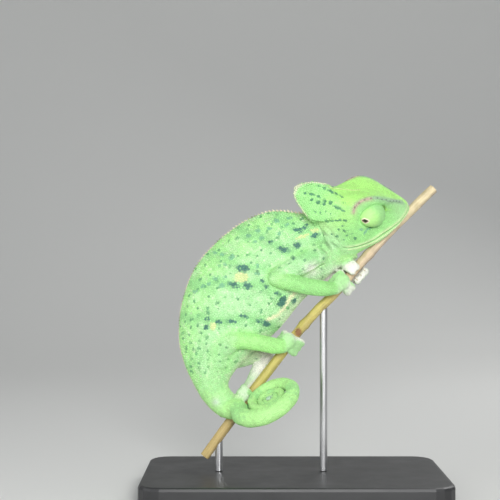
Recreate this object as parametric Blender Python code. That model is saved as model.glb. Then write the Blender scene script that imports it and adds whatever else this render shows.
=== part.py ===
"""A flap-necked chameleon climbing a cut stem, on a plain display stand.

The animal is built whole from lofted sections and tapered tubes, then parted
with thin cuts into the lengths a person would name.  +X points to the snout
end, the animal's right side faces -Y and the stand's underside is z = 0.
Sizes below are in millimetres and become metres when a mesh is made.
"""
import math

import bmesh
import bpy
import numpy as np
from mathutils import Matrix, Vector

MM = 0.001
GAP = 0.3                        # clear gap between pieces that touch

# display stand
BASE_LENGTH = 126.0
BASE_WIDTH = 74.0
BASE_HEIGHT = 8.0
BASE_CORNER = 9.0
BASE_BEVEL = 1.4
ROD_RADIUS = 1.6
ROD_LOW_X = -31.5
ROD_HIGH_X = 12.4

# cut stem that the animal grips
STEM_RADIUS = 2.1
STEM_AXIS = [
    (-37.4, 0.2, 14.2), (-29.2, 0.0, 25.6), (-10.7, 0.0, 50.0), (1.3, 0.0, 65.9), (9.2, 0.0, 74.8),
    (16.4, 0.0, 81.9), (27.7, 0.6, 94.9), (37.0, 2.0, 105.0), (49.0, 5.2, 116.8), (59.6, 7.4, 126.9),
]

# trunk sections: back ridge point, belly point, half width
TRUNK = [
    ((18.0, -8.5, 118.0), (27.0, 7.0, 98.5), 8.0),
    ((5.0, -6.5, 116.0), (18.6, 6.0, 93.2), 8.4),
    ((-9.7, -1.5, 117.0), (10.0, 2.0, 85.6), 9.8),
    ((-25.2, 0.0, 110.2), (1.5, 0.0, 77.0), 11.3),
    ((-39.6, 0.0, 96.2), (-5.5, 0.0, 68.5), 11.8),
    ((-47.0, 0.0, 79.1), (-13.0, 0.0, 61.5), 11.2),
    ((-47.9, 0.0, 60.5), (-19.5, 0.0, 56.0), 9.0),
    ((-41.5, -0.3, 43.4), (-27.4, -0.3, 45.0), 6.2),
    ((-30.6, -2.3, 30.6), (-22.8, -2.3, 38.0), 4.8),
]
KEEL = 0.25                      # how much the back narrows to a ridge
PEAR = 0.10                      # how much wider the belly half is than the back half

# coiled end of the tail: a log spiral in a tilted plane
COIL_CENTRE = Vector((-10.6, -12.3, 40.0))
COIL_LEAN = math.radians(26.0)   # slope of the coil's long axis
COIL_TILT = math.radians(67.7)
COIL_START = math.radians(180.0)
COIL_RADIUS = 13.85
COIL_SHRINK = 0.538              # size left after one turn
COIL_TURNS = 4.0
COIL_THICKNESS = 0.285           # tube radius over spiral radius
COIL_TIP_TURN = 2.0              # where the tip starts to tuck in and taper
COIL_TIP_TUCK = 0.03
COIL_TIP_TAPER = 0.04
COIL_LONG = Vector((math.cos(COIL_LEAN), 0.0, math.sin(COIL_LEAN)))
COIL_DEEP = Vector((math.cos(COIL_TILT) * math.sin(COIL_LEAN), -math.sin(COIL_TILT),
                    -math.cos(COIL_TILT) * math.cos(COIL_LEAN)))

# head frame: origin at the snout tip, pitched up and rolled to show the crown
SNOUT = Vector((48.2, 0.0, 119.5))
HEAD_PITCH = math.radians(21.5)
HEAD_ROLL = math.radians(36.0)
# back from snout, chin, chin half width, mouth, jaw half width, cheek half width, crest,
# crest half width, crown
HEAD = [
    (0.3, -1.3, 0.6, -0.3, 1.4, 1.5, 1.8, 0.8, 2.0),
    (2.3, -2.5, 2.1, -1.0, 3.5, 3.6, 4.9, 1.9, 5.0),
    (6.5, -3.6, 3.8, -2.2, 5.7, 5.6, 9.6, 5.2, 9.0),
    (10.5, -4.7, 5.2, -3.2, 7.2, 6.4, 14.0, 7.6, 12.8),
    (15.5, -5.7, 6.4, -3.7, 8.6, 6.7, 17.2, 8.8, 15.8),
    (21.0, -6.9, 7.2, -3.0, 9.8, 8.8, 17.4, 8.4, 18.0),
    (27.0, -7.7, 7.6, -1.5, 10.3, 9.7, 18.0, 6.6, 21.6),
    (33.0, -8.5, 7.6, 0.0, 9.6, 9.2, 19.5, 5.6, 25.0),
    (38.5, -9.0, 7.0, 0.0, 7.8, 7.8, 16.5, 4.6, 20.0),
]
EYE_BACK = 17.1
EYE_UP = 8.5
EYE_SIDE = 7.0
EYE_RADIUS = 5.6
EYE_CONE = 0.9                   # how far the lids stand out to a blunt cone
EYE_CONE_FROM = 0.55             # cosine from the gaze at which the cone starts
# skin lobe behind the head: centre, size and lie, in the head frame
LOBE_BACK = 36.6
LOBE_UP = 22.6
LOBE_HALF_LENGTH = 10.3
LOBE_HALF_HEIGHT = 7.0
LOBE_TURN = math.radians(46.0)   # its long way points up and back
LOBE_POINT = (0.5, 0.15)         # how much it narrows to its end, below and above
LOBE_SIDE = 4.2
LOBE_LEAN = 0.45
LOBE_FLARE = 2.6                 # side offset gained from the middle to the rear edge
LOBE_RIM = 0.7                   # how far the edge curls outwards
LOBE_THICKNESS = 2.1
LOBE_DROP = 2.6                  # how much lower the left one lies

# limbs: x, y, z and radius from the body to the elbow or knee and on to the wrist
ARM_RIGHT = [
    (9.5, -6.9, 99.2, 5.4), (2.5, -9.4, 95.0, 5.0), (-7.2, -12.8, 89.6, 4.2), (-1.5, -12.7, 87.4, 3.7),
    (5.0, -11.3, 85.9, 3.5), (12.0, -8.8, 84.9, 3.3), (17.0, -6.0, 85.0, 2.8),
]
ARM_LEFT = [
    (10.5, 7.3, 97.0, 4.7), (6.0, 9.7, 91.5, 4.5), (3.5, 11.6, 87.5, 4.0), (6.0, 11.6, 87.0, 3.7),
    (11.0, 10.4, 89.0, 3.4), (15.6, 8.7, 91.0, 3.2), (20.4, 6.5, 92.2, 2.8),
]
LEG_RIGHT = [
    (-31.2, -4.3, 54.6, 5.0), (-29.7, -5.6, 59.5, 5.1), (-25.6, -8.9, 63.6, 4.4), (-22.0, -9.9, 63.7, 3.9),
    (-15.0, -10.4, 62.7, 3.5), (-9.0, -8.8, 61.4, 3.4), (-4.8, -6.2, 61.0, 3.1),
]
LEG_LEFT = [
    (-30.0, 6.8, 54.4, 5.0), (-22.0, 8.4, 55.6, 4.8), (-13.6, 9.6, 57.2, 4.2), (-11.9, 9.3, 55.2, 3.7),
    (-14.4, 7.6, 50.0, 3.4), (-17.2, 5.6, 44.8, 3.0),
]
ELBOW_ROW = 2                    # row of each limb list that is the elbow or knee
# where each palm meets the stem (distance along x) and its outer and inner toes
GRIPS = [("arm_right", ARM_RIGHT, 20.4, 2, 3), ("arm_left", ARM_LEFT, 25.2, 2, 3),
         ("leg_right", LEG_RIGHT, -1.6, 3, 2), ("leg_left", LEG_LEFT, -19.0, 3, 2)]
TOE_RADIUS = 1.6
TOE_PITCH = 2.5
TOE_REACH = math.radians(142.0)
CLAW_RADIUS = 0.55
CLAW_LENGTH = 0.42               # radians round the stem
PALM_RADIUS = 3.3

# how finely each kind of piece is made
VOXEL = 0.62
FOOT_VOXEL = 0.42
LOBE_VOXEL = 0.55
AXIS_TRIANGLES = 1220
FOOT_TRIANGLES = 200
TRUNK_ROWS = 34
TRUNK_SIDES = 28
HEAD_ROWS = 26
SLAB_DEPTH = 6.0
SHARP_ANGLE = math.radians(40.0)
LOBE_TRIANGLES = 140
LIMB_SIDES = 10
UPPER_ROWS = 7
LOWER_ROWS = 8
STEM_ROWS = 16
STEM_SIDES = 10
ROD_SIDES = 20

# name start: colour, roughness, metallic; the last row is every node not named above it
FINISHES = [
    ("eye", (0.42, 0.85, 0.28, 1.0), 0.55, 0.0),
    ("perch_stem", (0.55, 0.50, 0.24, 1.0), 0.75, 0.0),
    ("stand_base", (0.05, 0.05, 0.055, 1.0), 0.50, 0.0),
    ("stand_rod", (0.60, 0.60, 0.62, 1.0), 0.35, 1.0),
    ("", (0.38, 0.78, 0.30, 1.0), 0.55, 0.0),
]


def clear_scene():
    for item in list(bpy.data.objects):
        bpy.data.objects.remove(item, do_unlink=True)


def material(name):
    """One Principled material for a node."""
    colour, roughness, metallic = next(row[1:] for row in FINISHES if name.startswith(row[0]))
    made = bpy.data.materials.new(name)
    made.use_nodes = True
    shader = made.node_tree.nodes["Principled BSDF"]
    shader.inputs["Base Color"].default_value = colour
    shader.inputs["Roughness"].default_value = roughness
    shader.inputs["Metallic"].default_value = metallic
    return made


def smooth_rows(rows, count):
    """Catmull-Rom curve through rows of numbers, read at count even steps."""
    rows = np.array(rows, dtype=float)
    padded = np.vstack([2 * rows[0] - rows[1], rows, 2 * rows[-1] - rows[-2]])
    places = np.linspace(0.0, len(rows) - 1, count)
    out = []
    for place in places:
        first = min(int(place), len(rows) - 2)
        t = place - first
        a, b, c, d = padded[first:first + 4]
        out.append(0.5 * (2 * b + (c - a) * t + (2 * a - 5 * b + 4 * c - d) * t ** 2
                          + (3 * b - a - 3 * c + d) * t ** 3))
    return np.array(out)


def new_object(name, bm):
    """Finish a bmesh as a smooth-shaded object."""
    bmesh.ops.recalc_face_normals(bm, faces=bm.faces)
    mesh = bpy.data.meshes.new(name)
    bm.to_mesh(mesh)
    bm.free()
    made = bpy.data.objects.new(name, mesh)
    bpy.context.collection.objects.link(made)
    return made


def loft(name, rings):
    """Closed solid through rings of points (millimetres)."""
    bm = bmesh.new()
    loops = [[bm.verts.new(Vector(point) * MM) for point in ring] for ring in rings]
    for low, high in zip(loops, loops[1:]):
        for i in range(len(low)):
            j = (i + 1) % len(low)
            bm.faces.new((low[i], low[j], high[j], high[i]))
    bm.faces.new(reversed(loops[0]))
    bm.faces.new(loops[-1])
    return new_object(name, bm)


def rounded_rows(rows):
    """Add shrinking rows past both ends of a tube, so that it closes like a dome."""
    rows = [list(row) for row in rows]
    caps = []
    for end, inner in ((rows[0], rows[1]), (rows[-1], rows[-2])):
        ahead = (Vector(end[:3]) - Vector(inner[:3])).normalized()
        steps = ((0.55, 0.84), (0.90, 0.44))
        cap = []
        for reach, share in steps:
            cap.append(list(Vector(end[:3]) + ahead * end[3] * reach) + [end[3] * share])
        caps.append(cap)
    return caps[0][::-1] + rows + caps[1]


def tube(name, rows, sides=12, steps=None, domed=False):
    """Closed round tube through rows of x, y, z, radius."""
    rows = smooth_rows(rows, steps) if steps else np.array(rows, dtype=float)
    if domed:
        rows = rounded_rows(rows)
    points = [Vector(row[:3]) for row in rows]
    rings = []
    side = None
    for i, point in enumerate(points):
        ahead = points[min(i + 1, len(points) - 1)] - points[max(i - 1, 0)]
        ahead.normalize()
        if side is None:
            side = ahead.orthogonal().normalized()
        side = (side - ahead * side.dot(ahead)).normalized()
        across = ahead.cross(side)
        turns = [2 * math.pi * k / sides for k in range(sides)]
        rings.append([point + (side * math.cos(t) + across * math.sin(t)) * rows[i][3] for t in turns])
    return loft(name, rings)


def ball(name, centre, radius):
    bm = bmesh.new()
    bmesh.ops.create_icosphere(bm, subdivisions=3, radius=radius * MM)
    bmesh.ops.translate(bm, vec=Vector(centre) * MM, verts=bm.verts)
    return new_object(name, bm)


def join(name, pieces):
    """Join objects into one; their bodies may still overlap."""
    bm = bmesh.new()
    for piece in pieces:
        bm.from_mesh(piece.data)
        bpy.data.objects.remove(piece, do_unlink=True)
    mesh = bpy.data.meshes.new(name)
    bm.to_mesh(mesh)
    bm.free()
    made = bpy.data.objects.new(name, mesh)
    bpy.context.collection.objects.link(made)
    return made


def apply_modifiers(piece):
    """Keep the evaluated mesh and drop the modifiers."""
    graph = bpy.context.evaluated_depsgraph_get()
    mesh = bpy.data.meshes.new_from_object(piece.evaluated_get(graph))
    piece.modifiers.clear()
    piece.data = mesh
    return piece


def fuse(piece, voxel, triangles):
    """Merge overlapping bodies into one skin, then thin it to a triangle budget."""
    remesh = piece.modifiers.new("fuse", "REMESH")
    remesh.mode = "VOXEL"
    remesh.voxel_size = voxel * MM
    apply_modifiers(piece)
    ease = piece.modifiers.new("ease", "SMOOTH")
    ease.factor = 0.5
    ease.iterations = 3
    apply_modifiers(piece)
    faces = 2 * len(piece.data.polygons)
    thin = piece.modifiers.new("thin", "DECIMATE")
    thin.ratio = min(1.0, triangles / faces)
    return apply_modifiers(piece)


def cut(piece, cutter, keep_cutter=False):
    """Subtract one solid from another."""
    step = piece.modifiers.new("cut", "BOOLEAN")
    step.operation = "DIFFERENCE"
    step.solver = "EXACT"
    step.object = cutter
    apply_modifiers(piece)
    if not keep_cutter:
        bpy.data.objects.remove(cutter, do_unlink=True)
    return piece


def swollen(piece, by):
    """A copy of a solid with its surface moved out, used as a clearance cutter."""
    copy = piece.copy()
    copy.data = piece.data.copy()
    bpy.context.collection.objects.link(copy)
    step = copy.modifiers.new("swell", "DISPLACE")
    step.strength = by * MM
    step.mid_level = 0.0
    return apply_modifiers(copy)


def boxes_meet(one, two):
    """Whether two objects' boxes overlap, so that a cut is worth making."""
    ends = []
    for item in (one, two):
        places = zip(*(vert.co for vert in item.data.vertices))
        ends.append([(min(axis), max(axis)) for axis in places])
    return all(a[0] < b[1] and b[0] < a[1] for a, b in zip(*ends))


def slab(centre, normal, radius, depth):
    """Round cutter that takes a flat slice off the end of a length."""
    bm = bmesh.new()
    turn = Vector(normal).to_track_quat("Z", "Y").to_matrix().to_4x4()
    place = Matrix.Translation(Vector(centre) * MM) @ turn
    bmesh.ops.create_cone(bm, cap_ends=True, segments=24, radius1=radius * MM, radius2=radius * MM,
                          depth=depth * MM, matrix=place)
    return new_object("slab", bm)


def head_point(back, up, side):
    """World place of a point given in the head frame; side is + to the animal's right."""
    ahead = Vector((math.cos(HEAD_PITCH), 0.0, math.sin(HEAD_PITCH)))
    above = Vector((-math.sin(HEAD_PITCH), 0.0, math.cos(HEAD_PITCH)))
    near = Vector((0.0, -1.0, 0.0))
    crown = above * math.cos(HEAD_ROLL) + near * math.sin(HEAD_ROLL)
    right = near * math.cos(HEAD_ROLL) - above * math.sin(HEAD_ROLL)
    return SNOUT - ahead * back + crown * up + right * side


def trunk_and_tail_base():
    """Loft of keeled ovals between the back and belly lines."""
    flat = [list(back) + list(belly) + [width] for back, belly, width in TRUNK]
    rows = smooth_rows(flat, TRUNK_ROWS)
    middles = [(Vector(row[0:3]) + Vector(row[3:6])) / 2 for row in rows]
    rings = []
    for i, row in enumerate(rows):
        depth = (Vector(row[0:3]) - Vector(row[3:6])) / 2
        along = middles[min(i + 1, len(rows) - 1)] - middles[max(i - 1, 0)]
        side = along.cross(depth).normalized()
        ring = []
        for k in range(TRUNK_SIDES):
            turn = 2 * math.pi * k / TRUNK_SIDES
            lift = math.cos(turn)
            spread = math.copysign(abs(math.sin(turn)) ** (1.0 + KEEL * max(0.0, lift)), math.sin(turn))
            ring.append(middles[i] + depth * lift + side * (row[6] * spread * (1.0 - PEAR * lift)))
        rings.append(ring)
    return loft("trunk_loft", rings)


def head_loft():
    """Loft of head sections: chin, jaw, cheek, brow crest and crown."""
    rows = smooth_rows(HEAD, HEAD_ROWS)
    rings = []
    for back, chin, chin_w, mouth, jaw_w, cheek_w, crest, crest_w, crown in rows:
        middle = (mouth + crest) / 2
        half = [(chin, chin_w), (mouth, jaw_w), (middle, cheek_w), (crest, crest_w)]
        corners = [(chin - 0.3, 0.0)] + half + [(crown, 0.0)] + [(up, -side) for up, side in reversed(half)]
        closed = corners[-1:] + corners + corners[:2]
        outline = smooth_rows(closed, 4 * len(closed) - 3)[4:4 + 4 * len(corners)]
        rings.append([head_point(back, up, side) for up, side in outline])
    return loft("head_loft", rings)


def lobe(name, hand):
    """One rounded skin lobe standing off the nape; hand is +1 on the right."""
    bm = bmesh.new()
    bmesh.ops.create_grid(bm, x_segments=18, y_segments=18, size=1.0)
    for vert in bm.verts:
        x, y = vert.co.x, vert.co.y
        disc = Vector((x * math.sqrt(1 - y * y / 2), y * math.sqrt(1 - x * x / 2), 0.0))
        rim = min(disc.length, 1.0)
        narrow = LOBE_POINT[0] if disc.y < 0.0 else LOBE_POINT[1]
        long = disc.x * LOBE_HALF_LENGTH
        high = disc.y * LOBE_HALF_HEIGHT * (1.0 - narrow * max(0.0, disc.x))
        back = long * math.cos(LOBE_TURN) - high * math.sin(LOBE_TURN)
        up = long * math.sin(LOBE_TURN) + high * math.cos(LOBE_TURN)
        side = LOBE_SIDE - LOBE_LEAN * up + LOBE_FLARE * back / LOBE_HALF_LENGTH + LOBE_RIM * rim ** 4
        side = max(side, LOBE_THICKNESS * 0.5 + GAP * 1.4)
        drop = LOBE_DROP if hand < 0 else 0.0
        vert.co = head_point(LOBE_BACK + back - 0.5 * drop, LOBE_UP + up - drop, hand * side) * MM
    bmesh.ops.recalc_face_normals(bm, faces=bm.faces)
    sheet = new_object(name, bm)
    thick = sheet.modifiers.new("thick", "SOLIDIFY")
    thick.thickness = LOBE_THICKNESS * MM
    thick.offset = 0.0
    apply_modifiers(sheet)
    return fuse(sheet, LOBE_VOXEL, LOBE_TRIANGLES)


def coil_row(turn):
    """Centre and radius of the coiled tail after a number of turns."""
    angle = COIL_START - 2 * math.pi * turn
    reach = COIL_RADIUS * COIL_SHRINK ** turn
    thick = reach * COIL_THICKNESS
    inner = max(0.0, turn - COIL_TIP_TURN)
    reach -= COIL_TIP_TUCK * inner ** 2
    thick *= 1.0 - COIL_TIP_TAPER * inner
    place = COIL_CENTRE + (COIL_LONG * math.cos(angle) + COIL_DEEP * math.sin(angle)) * reach
    return (place.x, place.y, place.z, thick)


def coil_length(name, start, end, sides, steps):
    rows = [coil_row(start + (end - start) * i / (steps - 1)) for i in range(steps)]
    return tube(name, rows, sides)


def stem_place(x):
    """Point and direction of the stem's axis at a given x."""
    rows = smooth_rows(STEM_AXIS, 200)
    i = int(np.argmin(np.abs(rows[:, 0] - x)))
    i = min(max(i, 1), len(rows) - 2)
    return Vector(rows[i]), Vector(rows[i + 1] - rows[i - 1]).normalized()


def stem(name, radius):
    rows = smooth_rows(STEM_AXIS, STEM_ROWS)
    return tube(name, [(x, y, z, radius) for x, y, z in rows], STEM_SIDES)


def foot(limb, grip_x, outer, inner):
    """Palm, toes wrapped round the stem in two opposed bundles, and claws."""
    centre, along = stem_place(grip_x)
    wrist = Vector(limb[-1][:3])
    reach = wrist - centre
    reach = (reach - along * reach.dot(along)).normalized()
    across = along.cross(reach)
    ring = STEM_RADIUS + GAP + TOE_RADIUS * 0.9
    palm = centre + reach * (ring + 0.9)
    pieces = [tube("palm", [tuple(wrist) + (limb[-1][3],), tuple(palm) + (2.7,),
                            tuple(centre + reach * ring) + (2.2,)], 12, 6),
              ball("palm_ball", palm, PALM_RADIUS)]
    for count, way in ((outer, 1.0), (inner, -1.0)):
        for i in range(count):
            shift = along * (i - (count - 1) / 2) * TOE_PITCH
            rows = []
            for k in range(7):
                angle = way * TOE_REACH * k / 6
                spot = centre + shift * min(1.0, 0.45 + 0.25 * k) \
                    + (reach * math.cos(angle) + across * math.sin(angle)) * ring
                rows.append(tuple(spot) + (TOE_RADIUS * (1.12 - 0.045 * k),))
            pieces.append(tube("toe", rows, 10, 14))
            pieces.append(ball("toe_end", rows[-1][:3], rows[-1][3]))
            angle = way * (TOE_REACH + CLAW_LENGTH)
            tip = centre + shift + (reach * math.cos(angle) + across * math.sin(angle)) * (ring + 0.2)
            claw = [rows[-1][:3] + (CLAW_RADIUS * 1.5,), tuple(tip) + (CLAW_RADIUS,)]
            pieces.append(tube("claw", claw, 8, 4))
    return pieces


def axis_body():
    """Head, neck, trunk and tail base fused into one skin."""
    tail = [(-34.5, 0.0, 49.0, 6.0), (-33.9, -0.5, 42.8, 6.4), (-28.2, -2.8, 35.4, 5.0), coil_row(-0.04),
            coil_row(0.03)]
    pieces = [trunk_and_tail_base(), head_loft(), tube("tail_join", tail, 14, 16)]
    return fuse(join("axis_body", pieces), VOXEL, AXIS_TRIANGLES)


def grown(rows, by):
    """The same rows with every radius larger."""
    return [tuple(row[:3]) + (row[3] + by,) for row in rows]


def limb_parts(name, limb, grip_x, outer, inner, clearance, body_space):
    """Upper limb, lower limb and foot, each clear of the one before, and the room they need."""
    upper_rows = limb[:ELBOW_ROW + 1]
    lower_rows = limb[ELBOW_ROW:]
    upper = tube(name + "_upper", upper_rows, LIMB_SIDES, UPPER_ROWS, domed=True)
    lower = tube(name + "_lower", lower_rows, LIMB_SIDES, LOWER_ROWS, domed=True)
    upper_room = tube("upper_room", grown(upper_rows, GAP), LIMB_SIDES, UPPER_ROWS, domed=True)
    lower_room = tube("lower_room", grown(lower_rows, GAP), LIMB_SIDES, LOWER_ROWS, domed=True)
    paw = fuse(join(name + "_foot", foot(limb, grip_x, outer, inner)), FOOT_VOXEL, FOOT_TRIANGLES)
    cut(lower, upper_room, keep_cutter=True)
    cut(lower, clearance, keep_cutter=True)
    cut(paw, lower_room, keep_cutter=True)
    cut(paw, clearance, keep_cutter=True)
    cut(paw, body_space, keep_cutter=True)
    return [upper, largest(lower), largest(paw)], [upper_room, lower_room]


def loose_bodies(bm):
    """The faces of each loose body of a mesh, the largest first."""
    found = []
    left = set(bm.faces)
    while left:
        shell = set()
        edge = [left.pop()]
        while edge:
            face = edge.pop()
            shell.add(face)
            near = {other for line in face.edges for other in line.link_faces if other in left}
            left -= near
            edge.extend(near)
        found.append(shell)
    return sorted(found, key=lambda shell: sum(face.calc_area() for face in shell), reverse=True)


def own_object(name, shell):
    """Copy one loose body into an object of its own."""
    part = bmesh.new()
    corners = {vert for face in shell for vert in face.verts}
    twin = {vert: part.verts.new(vert.co) for vert in sorted(corners, key=lambda vert: vert.index)}
    for face in sorted(shell, key=lambda face: face.index):
        around = [twin[vert] for vert in face.verts]
        double = part.faces.get(around)
        if double:
            part.faces.remove(double)
        else:
            part.faces.new(around)
    loose = [vert for vert in part.verts if not vert.link_faces]
    bmesh.ops.delete(part, geom=loose, context="VERTS")
    return new_object(name, part)


def largest(piece):
    """Drop slivers that a cut left beside the main body."""
    bm = bmesh.new()
    bm.from_mesh(piece.data)
    name = piece.name
    bpy.data.objects.remove(piece, do_unlink=True)
    made = own_object(name, loose_bodies(bm)[0])
    bm.free()
    return made


def side_of_plane(piece, name, centre, normal):
    """The part of a solid on the side a plane's normal points to, closed with a flat face."""
    bm = bmesh.new()
    bm.from_mesh(piece.data)
    away = Vector(normal).normalized()
    face_point = (Vector(centre) + away * (GAP / 2)) * MM
    geom = bm.verts[:] + bm.edges[:] + bm.faces[:]
    halved = bmesh.ops.bisect_plane(bm, geom=geom, plane_co=face_point, plane_no=away, clear_inner=True)
    rim = [item for item in halved["geom_cut"] if isinstance(item, bmesh.types.BMEdge)]
    bmesh.ops.triangle_fill(bm, use_beauty=True, edges=rim)
    return new_object(name, bm)


def part_axis(flesh):
    """Thin flat cuts between head, neck, trunk and the first length of tail."""
    planes = [("head", "neck", head_point(35.0, 4.0, 0.0), head_point(0, 0, 0) - head_point(1, 0.35, 0)),
              ("neck", "trunk", Vector((5.5, 0.5, 101.5)), Vector((1.0, 0.0, 0.72))),
              ("trunk", "tail_base", Vector((-34.6, 0.0, 50.0)), Vector((0.30, 0.0, 1.0)))]
    made = {}
    rest = flesh
    for name, after, centre, normal in planes:
        made[name] = side_of_plane(rest, name, centre, normal)
        behind = side_of_plane(rest, after, centre, -normal)
        bpy.data.objects.remove(rest, do_unlink=True)
        rest = behind
    end = Vector(coil_row(0.0)[:3])
    ahead = Vector(coil_row(0.01)[:3]) - Vector(coil_row(-0.01)[:3])
    slice_centre = end + ahead.normalized() * SLAB_DEPTH / 2
    made["tail_base"] = cut(rest, slab(slice_centre, ahead, COIL_RADIUS * COIL_THICKNESS * 1.7, SLAB_DEPTH))
    for name, item in made.items():
        item.name = name
    return made


def eye(name, hand):
    """Cone-shaped eyelid turret round the eyeball."""
    bm = bmesh.new()
    bmesh.ops.create_uvsphere(bm, u_segments=12, v_segments=8, radius=EYE_RADIUS * MM)
    made = new_object(name, bm)
    middle = head_point(EYE_BACK, EYE_UP, hand * EYE_SIDE)
    gaze = (head_point(0.60, 0.28, hand * 0.72) - head_point(0, 0, 0)).normalized()
    for vert in made.data.vertices:
        facing = max(0.0, vert.co.normalized().dot(gaze) - EYE_CONE_FROM) / (1.0 - EYE_CONE_FROM)
        vert.co += gaze * (EYE_CONE * MM * facing ** 1.5) + middle * MM
    return made


def rounded_plate(name):
    bm = bmesh.new()
    bmesh.ops.create_cube(bm, size=1.0)
    bmesh.ops.scale(bm, vec=(BASE_LENGTH * MM, BASE_WIDTH * MM, BASE_HEIGHT * MM), verts=bm.verts)
    bmesh.ops.translate(bm, vec=(0.0, 0.0, BASE_HEIGHT * MM / 2), verts=bm.verts)
    uprights = [e for e in bm.edges if abs(e.verts[0].co.z - e.verts[1].co.z) > BASE_HEIGHT * MM / 2]
    bmesh.ops.bevel(bm, geom=uprights, offset=BASE_CORNER * MM, segments=4, profile=0.5, affect="EDGES")
    top = [e for e in bm.edges if min(v.co.z for v in e.verts) > BASE_HEIGHT * MM * 0.99]
    bmesh.ops.bevel(bm, geom=top, offset=BASE_BEVEL * MM, segments=2, profile=0.5, affect="EDGES")
    return new_object(name, bm)


def rod(name, x, clearance):
    """Upright rod from the base, its top hollowed to cradle the stem."""
    place, along = stem_place(x)
    foot_z = BASE_HEIGHT + GAP
    bm = bmesh.new()
    height = place.z - foot_z
    centre = Vector((x, place.y, foot_z + height / 2)) * MM
    bmesh.ops.create_cone(bm, cap_ends=True, segments=ROD_SIDES, radius1=ROD_RADIUS * MM,
                          radius2=ROD_RADIUS * MM, depth=height * MM, matrix=Matrix.Translation(centre))
    return cut(new_object(name, bm), clearance, keep_cutter=True)


def flesh_parts(clearance):
    """Every part of the animal but the coiled tail, by name."""
    flesh = axis_body()
    body_space = swollen(flesh, GAP)
    axis = part_axis(flesh)
    made = {}
    rooms = []
    for name, limb, grip_x, outer, inner in GRIPS:
        pieces, taken = limb_parts(name, limb, grip_x, outer, inner, clearance, body_space)
        made.update({piece.name: piece for piece in pieces})
        rooms += taken
    for side, hand in (("right", 1.0), ("left", -1.0)):
        made["eye_" + side] = eye("eye_" + side, hand)
        rooms.append(swollen(made["eye_" + side], GAP))
        made["lobe_" + side] = largest(cut(lobe("lobe_" + side, hand), body_space, keep_cutter=True))
    bpy.data.objects.remove(body_space, do_unlink=True)
    for name, item in axis.items():
        for room in rooms + [clearance]:
            if boxes_meet(item, room):
                cut(item, room, keep_cutter=True)
        made[name] = largest(item)
    for room in rooms:
        bpy.data.objects.remove(room, do_unlink=True)
    return made


def main():
    clear_scene()
    clearance = stem("stem_clearance", STEM_RADIUS + GAP)
    made = flesh_parts(clearance)
    made["tail_outer_turn"] = coil_length("tail_outer_turn", 0.012, 0.985, 12, 28)
    made["tail_inner_turn"] = coil_length("tail_inner_turn", 1.0, 1.985, 10, 24)
    made["tail_tip"] = coil_length("tail_tip", 2.008, COIL_TURNS, 6, 27)
    made["perch_stem"] = stem("perch_stem", STEM_RADIUS)
    made["stand_base"] = rounded_plate("stand_base")
    made["stand_rod_low"] = rod("stand_rod_low", ROD_LOW_X, clearance)
    made["stand_rod_high"] = rod("stand_rod_high", ROD_HIGH_X, clearance)
    bpy.data.objects.remove(clearance, do_unlink=True)
    for name, item in sorted(made.items()):
        item.data.materials.clear()
        item.data.materials.append(material(name))
        item.data.shade_smooth()
        item.data.set_sharp_from_angle(angle=SHARP_ANGLE)
    print("triangles", sum(len(face.vertices) - 2 for item in made.values() for face in item.data.polygons))


main()
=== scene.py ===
# %% [markdown]
# # A flap-necked chameleon on a cut stem
#
# A chameleon is a climbing lizard: a body flattened from side to side, a tail that winds up like a watch
# spring, feet split into two opposed bundles of toes, and eyes in cone-shaped turrets of fused lids.
# A museum model of one is a cast body with a painted skin, glass eyes and scales worked over the surface.
# The script follows that order: light and camera, the body, the painted markings, the scales, then the
# stem and the stand.  Sizes in the tables are millimetres; meshes are in metres.

import math

import bmesh
import bpy
import numpy as np
from mathutils import Matrix, Vector
from mathutils.bvhtree import BVHTree
from mathutils.kdtree import KDTree


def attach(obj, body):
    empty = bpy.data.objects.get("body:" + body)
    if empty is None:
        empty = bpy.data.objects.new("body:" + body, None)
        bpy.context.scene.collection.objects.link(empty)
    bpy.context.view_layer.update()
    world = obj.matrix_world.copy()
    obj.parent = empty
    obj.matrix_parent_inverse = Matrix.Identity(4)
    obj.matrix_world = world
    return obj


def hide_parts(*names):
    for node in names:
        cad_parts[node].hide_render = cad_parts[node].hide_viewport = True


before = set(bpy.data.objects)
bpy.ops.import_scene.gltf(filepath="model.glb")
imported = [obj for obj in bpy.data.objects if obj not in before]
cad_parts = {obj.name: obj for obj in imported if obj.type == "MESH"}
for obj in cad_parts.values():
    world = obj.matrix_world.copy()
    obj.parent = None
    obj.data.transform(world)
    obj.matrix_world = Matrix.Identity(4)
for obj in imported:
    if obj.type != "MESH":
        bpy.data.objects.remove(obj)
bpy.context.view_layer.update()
MM = 0.001
random = np.random.default_rng(20)


def link(name, data):
    """A new object in the scene."""
    made = bpy.data.objects.new(name, data)
    bpy.context.collection.objects.link(made)
    return made


def new_object(name, bm):
    """A new object that keeps a bmesh as its mesh."""
    mesh = bpy.data.meshes.new(name)
    bm.to_mesh(mesh)
    bm.free()
    return link(name, mesh)


print("nodes", len(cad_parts))

# %% [markdown]
# ## Camera
#
# The animal is seen square from its right side, a little above the middle of the stem, with a lens long
# enough that the near leg and the far leg keep almost the same size.  The picture is 210 mm wide at the
# animal's mid plane, so the lens is worked out from that width.

# %% Camera
PICTURE_WIDTH = 210.0
CAMERA = Vector((-18.48, -500.0, 100.8))
camera_data = bpy.data.cameras.new("camera")
camera_data.sensor_width = 36.0
camera_data.lens = camera_data.sensor_width * abs(CAMERA.y) / PICTURE_WIDTH
camera = link("camera", camera_data)
camera.location = CAMERA * MM
camera.rotation_euler = (math.radians(90.0), 0.0, 0.0)
bpy.context.scene.camera = camera
print("lens", round(camera_data.lens, 1))

# %% [markdown]
# ## Light
#
# A small subject is lit with one big soft source close to the lens, which shows the colours of the skin
# evenly, and a weaker one on each side to give the body its roundness.  The display transform is the
# plain one, so that the bright lime skin keeps its strength.


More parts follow.
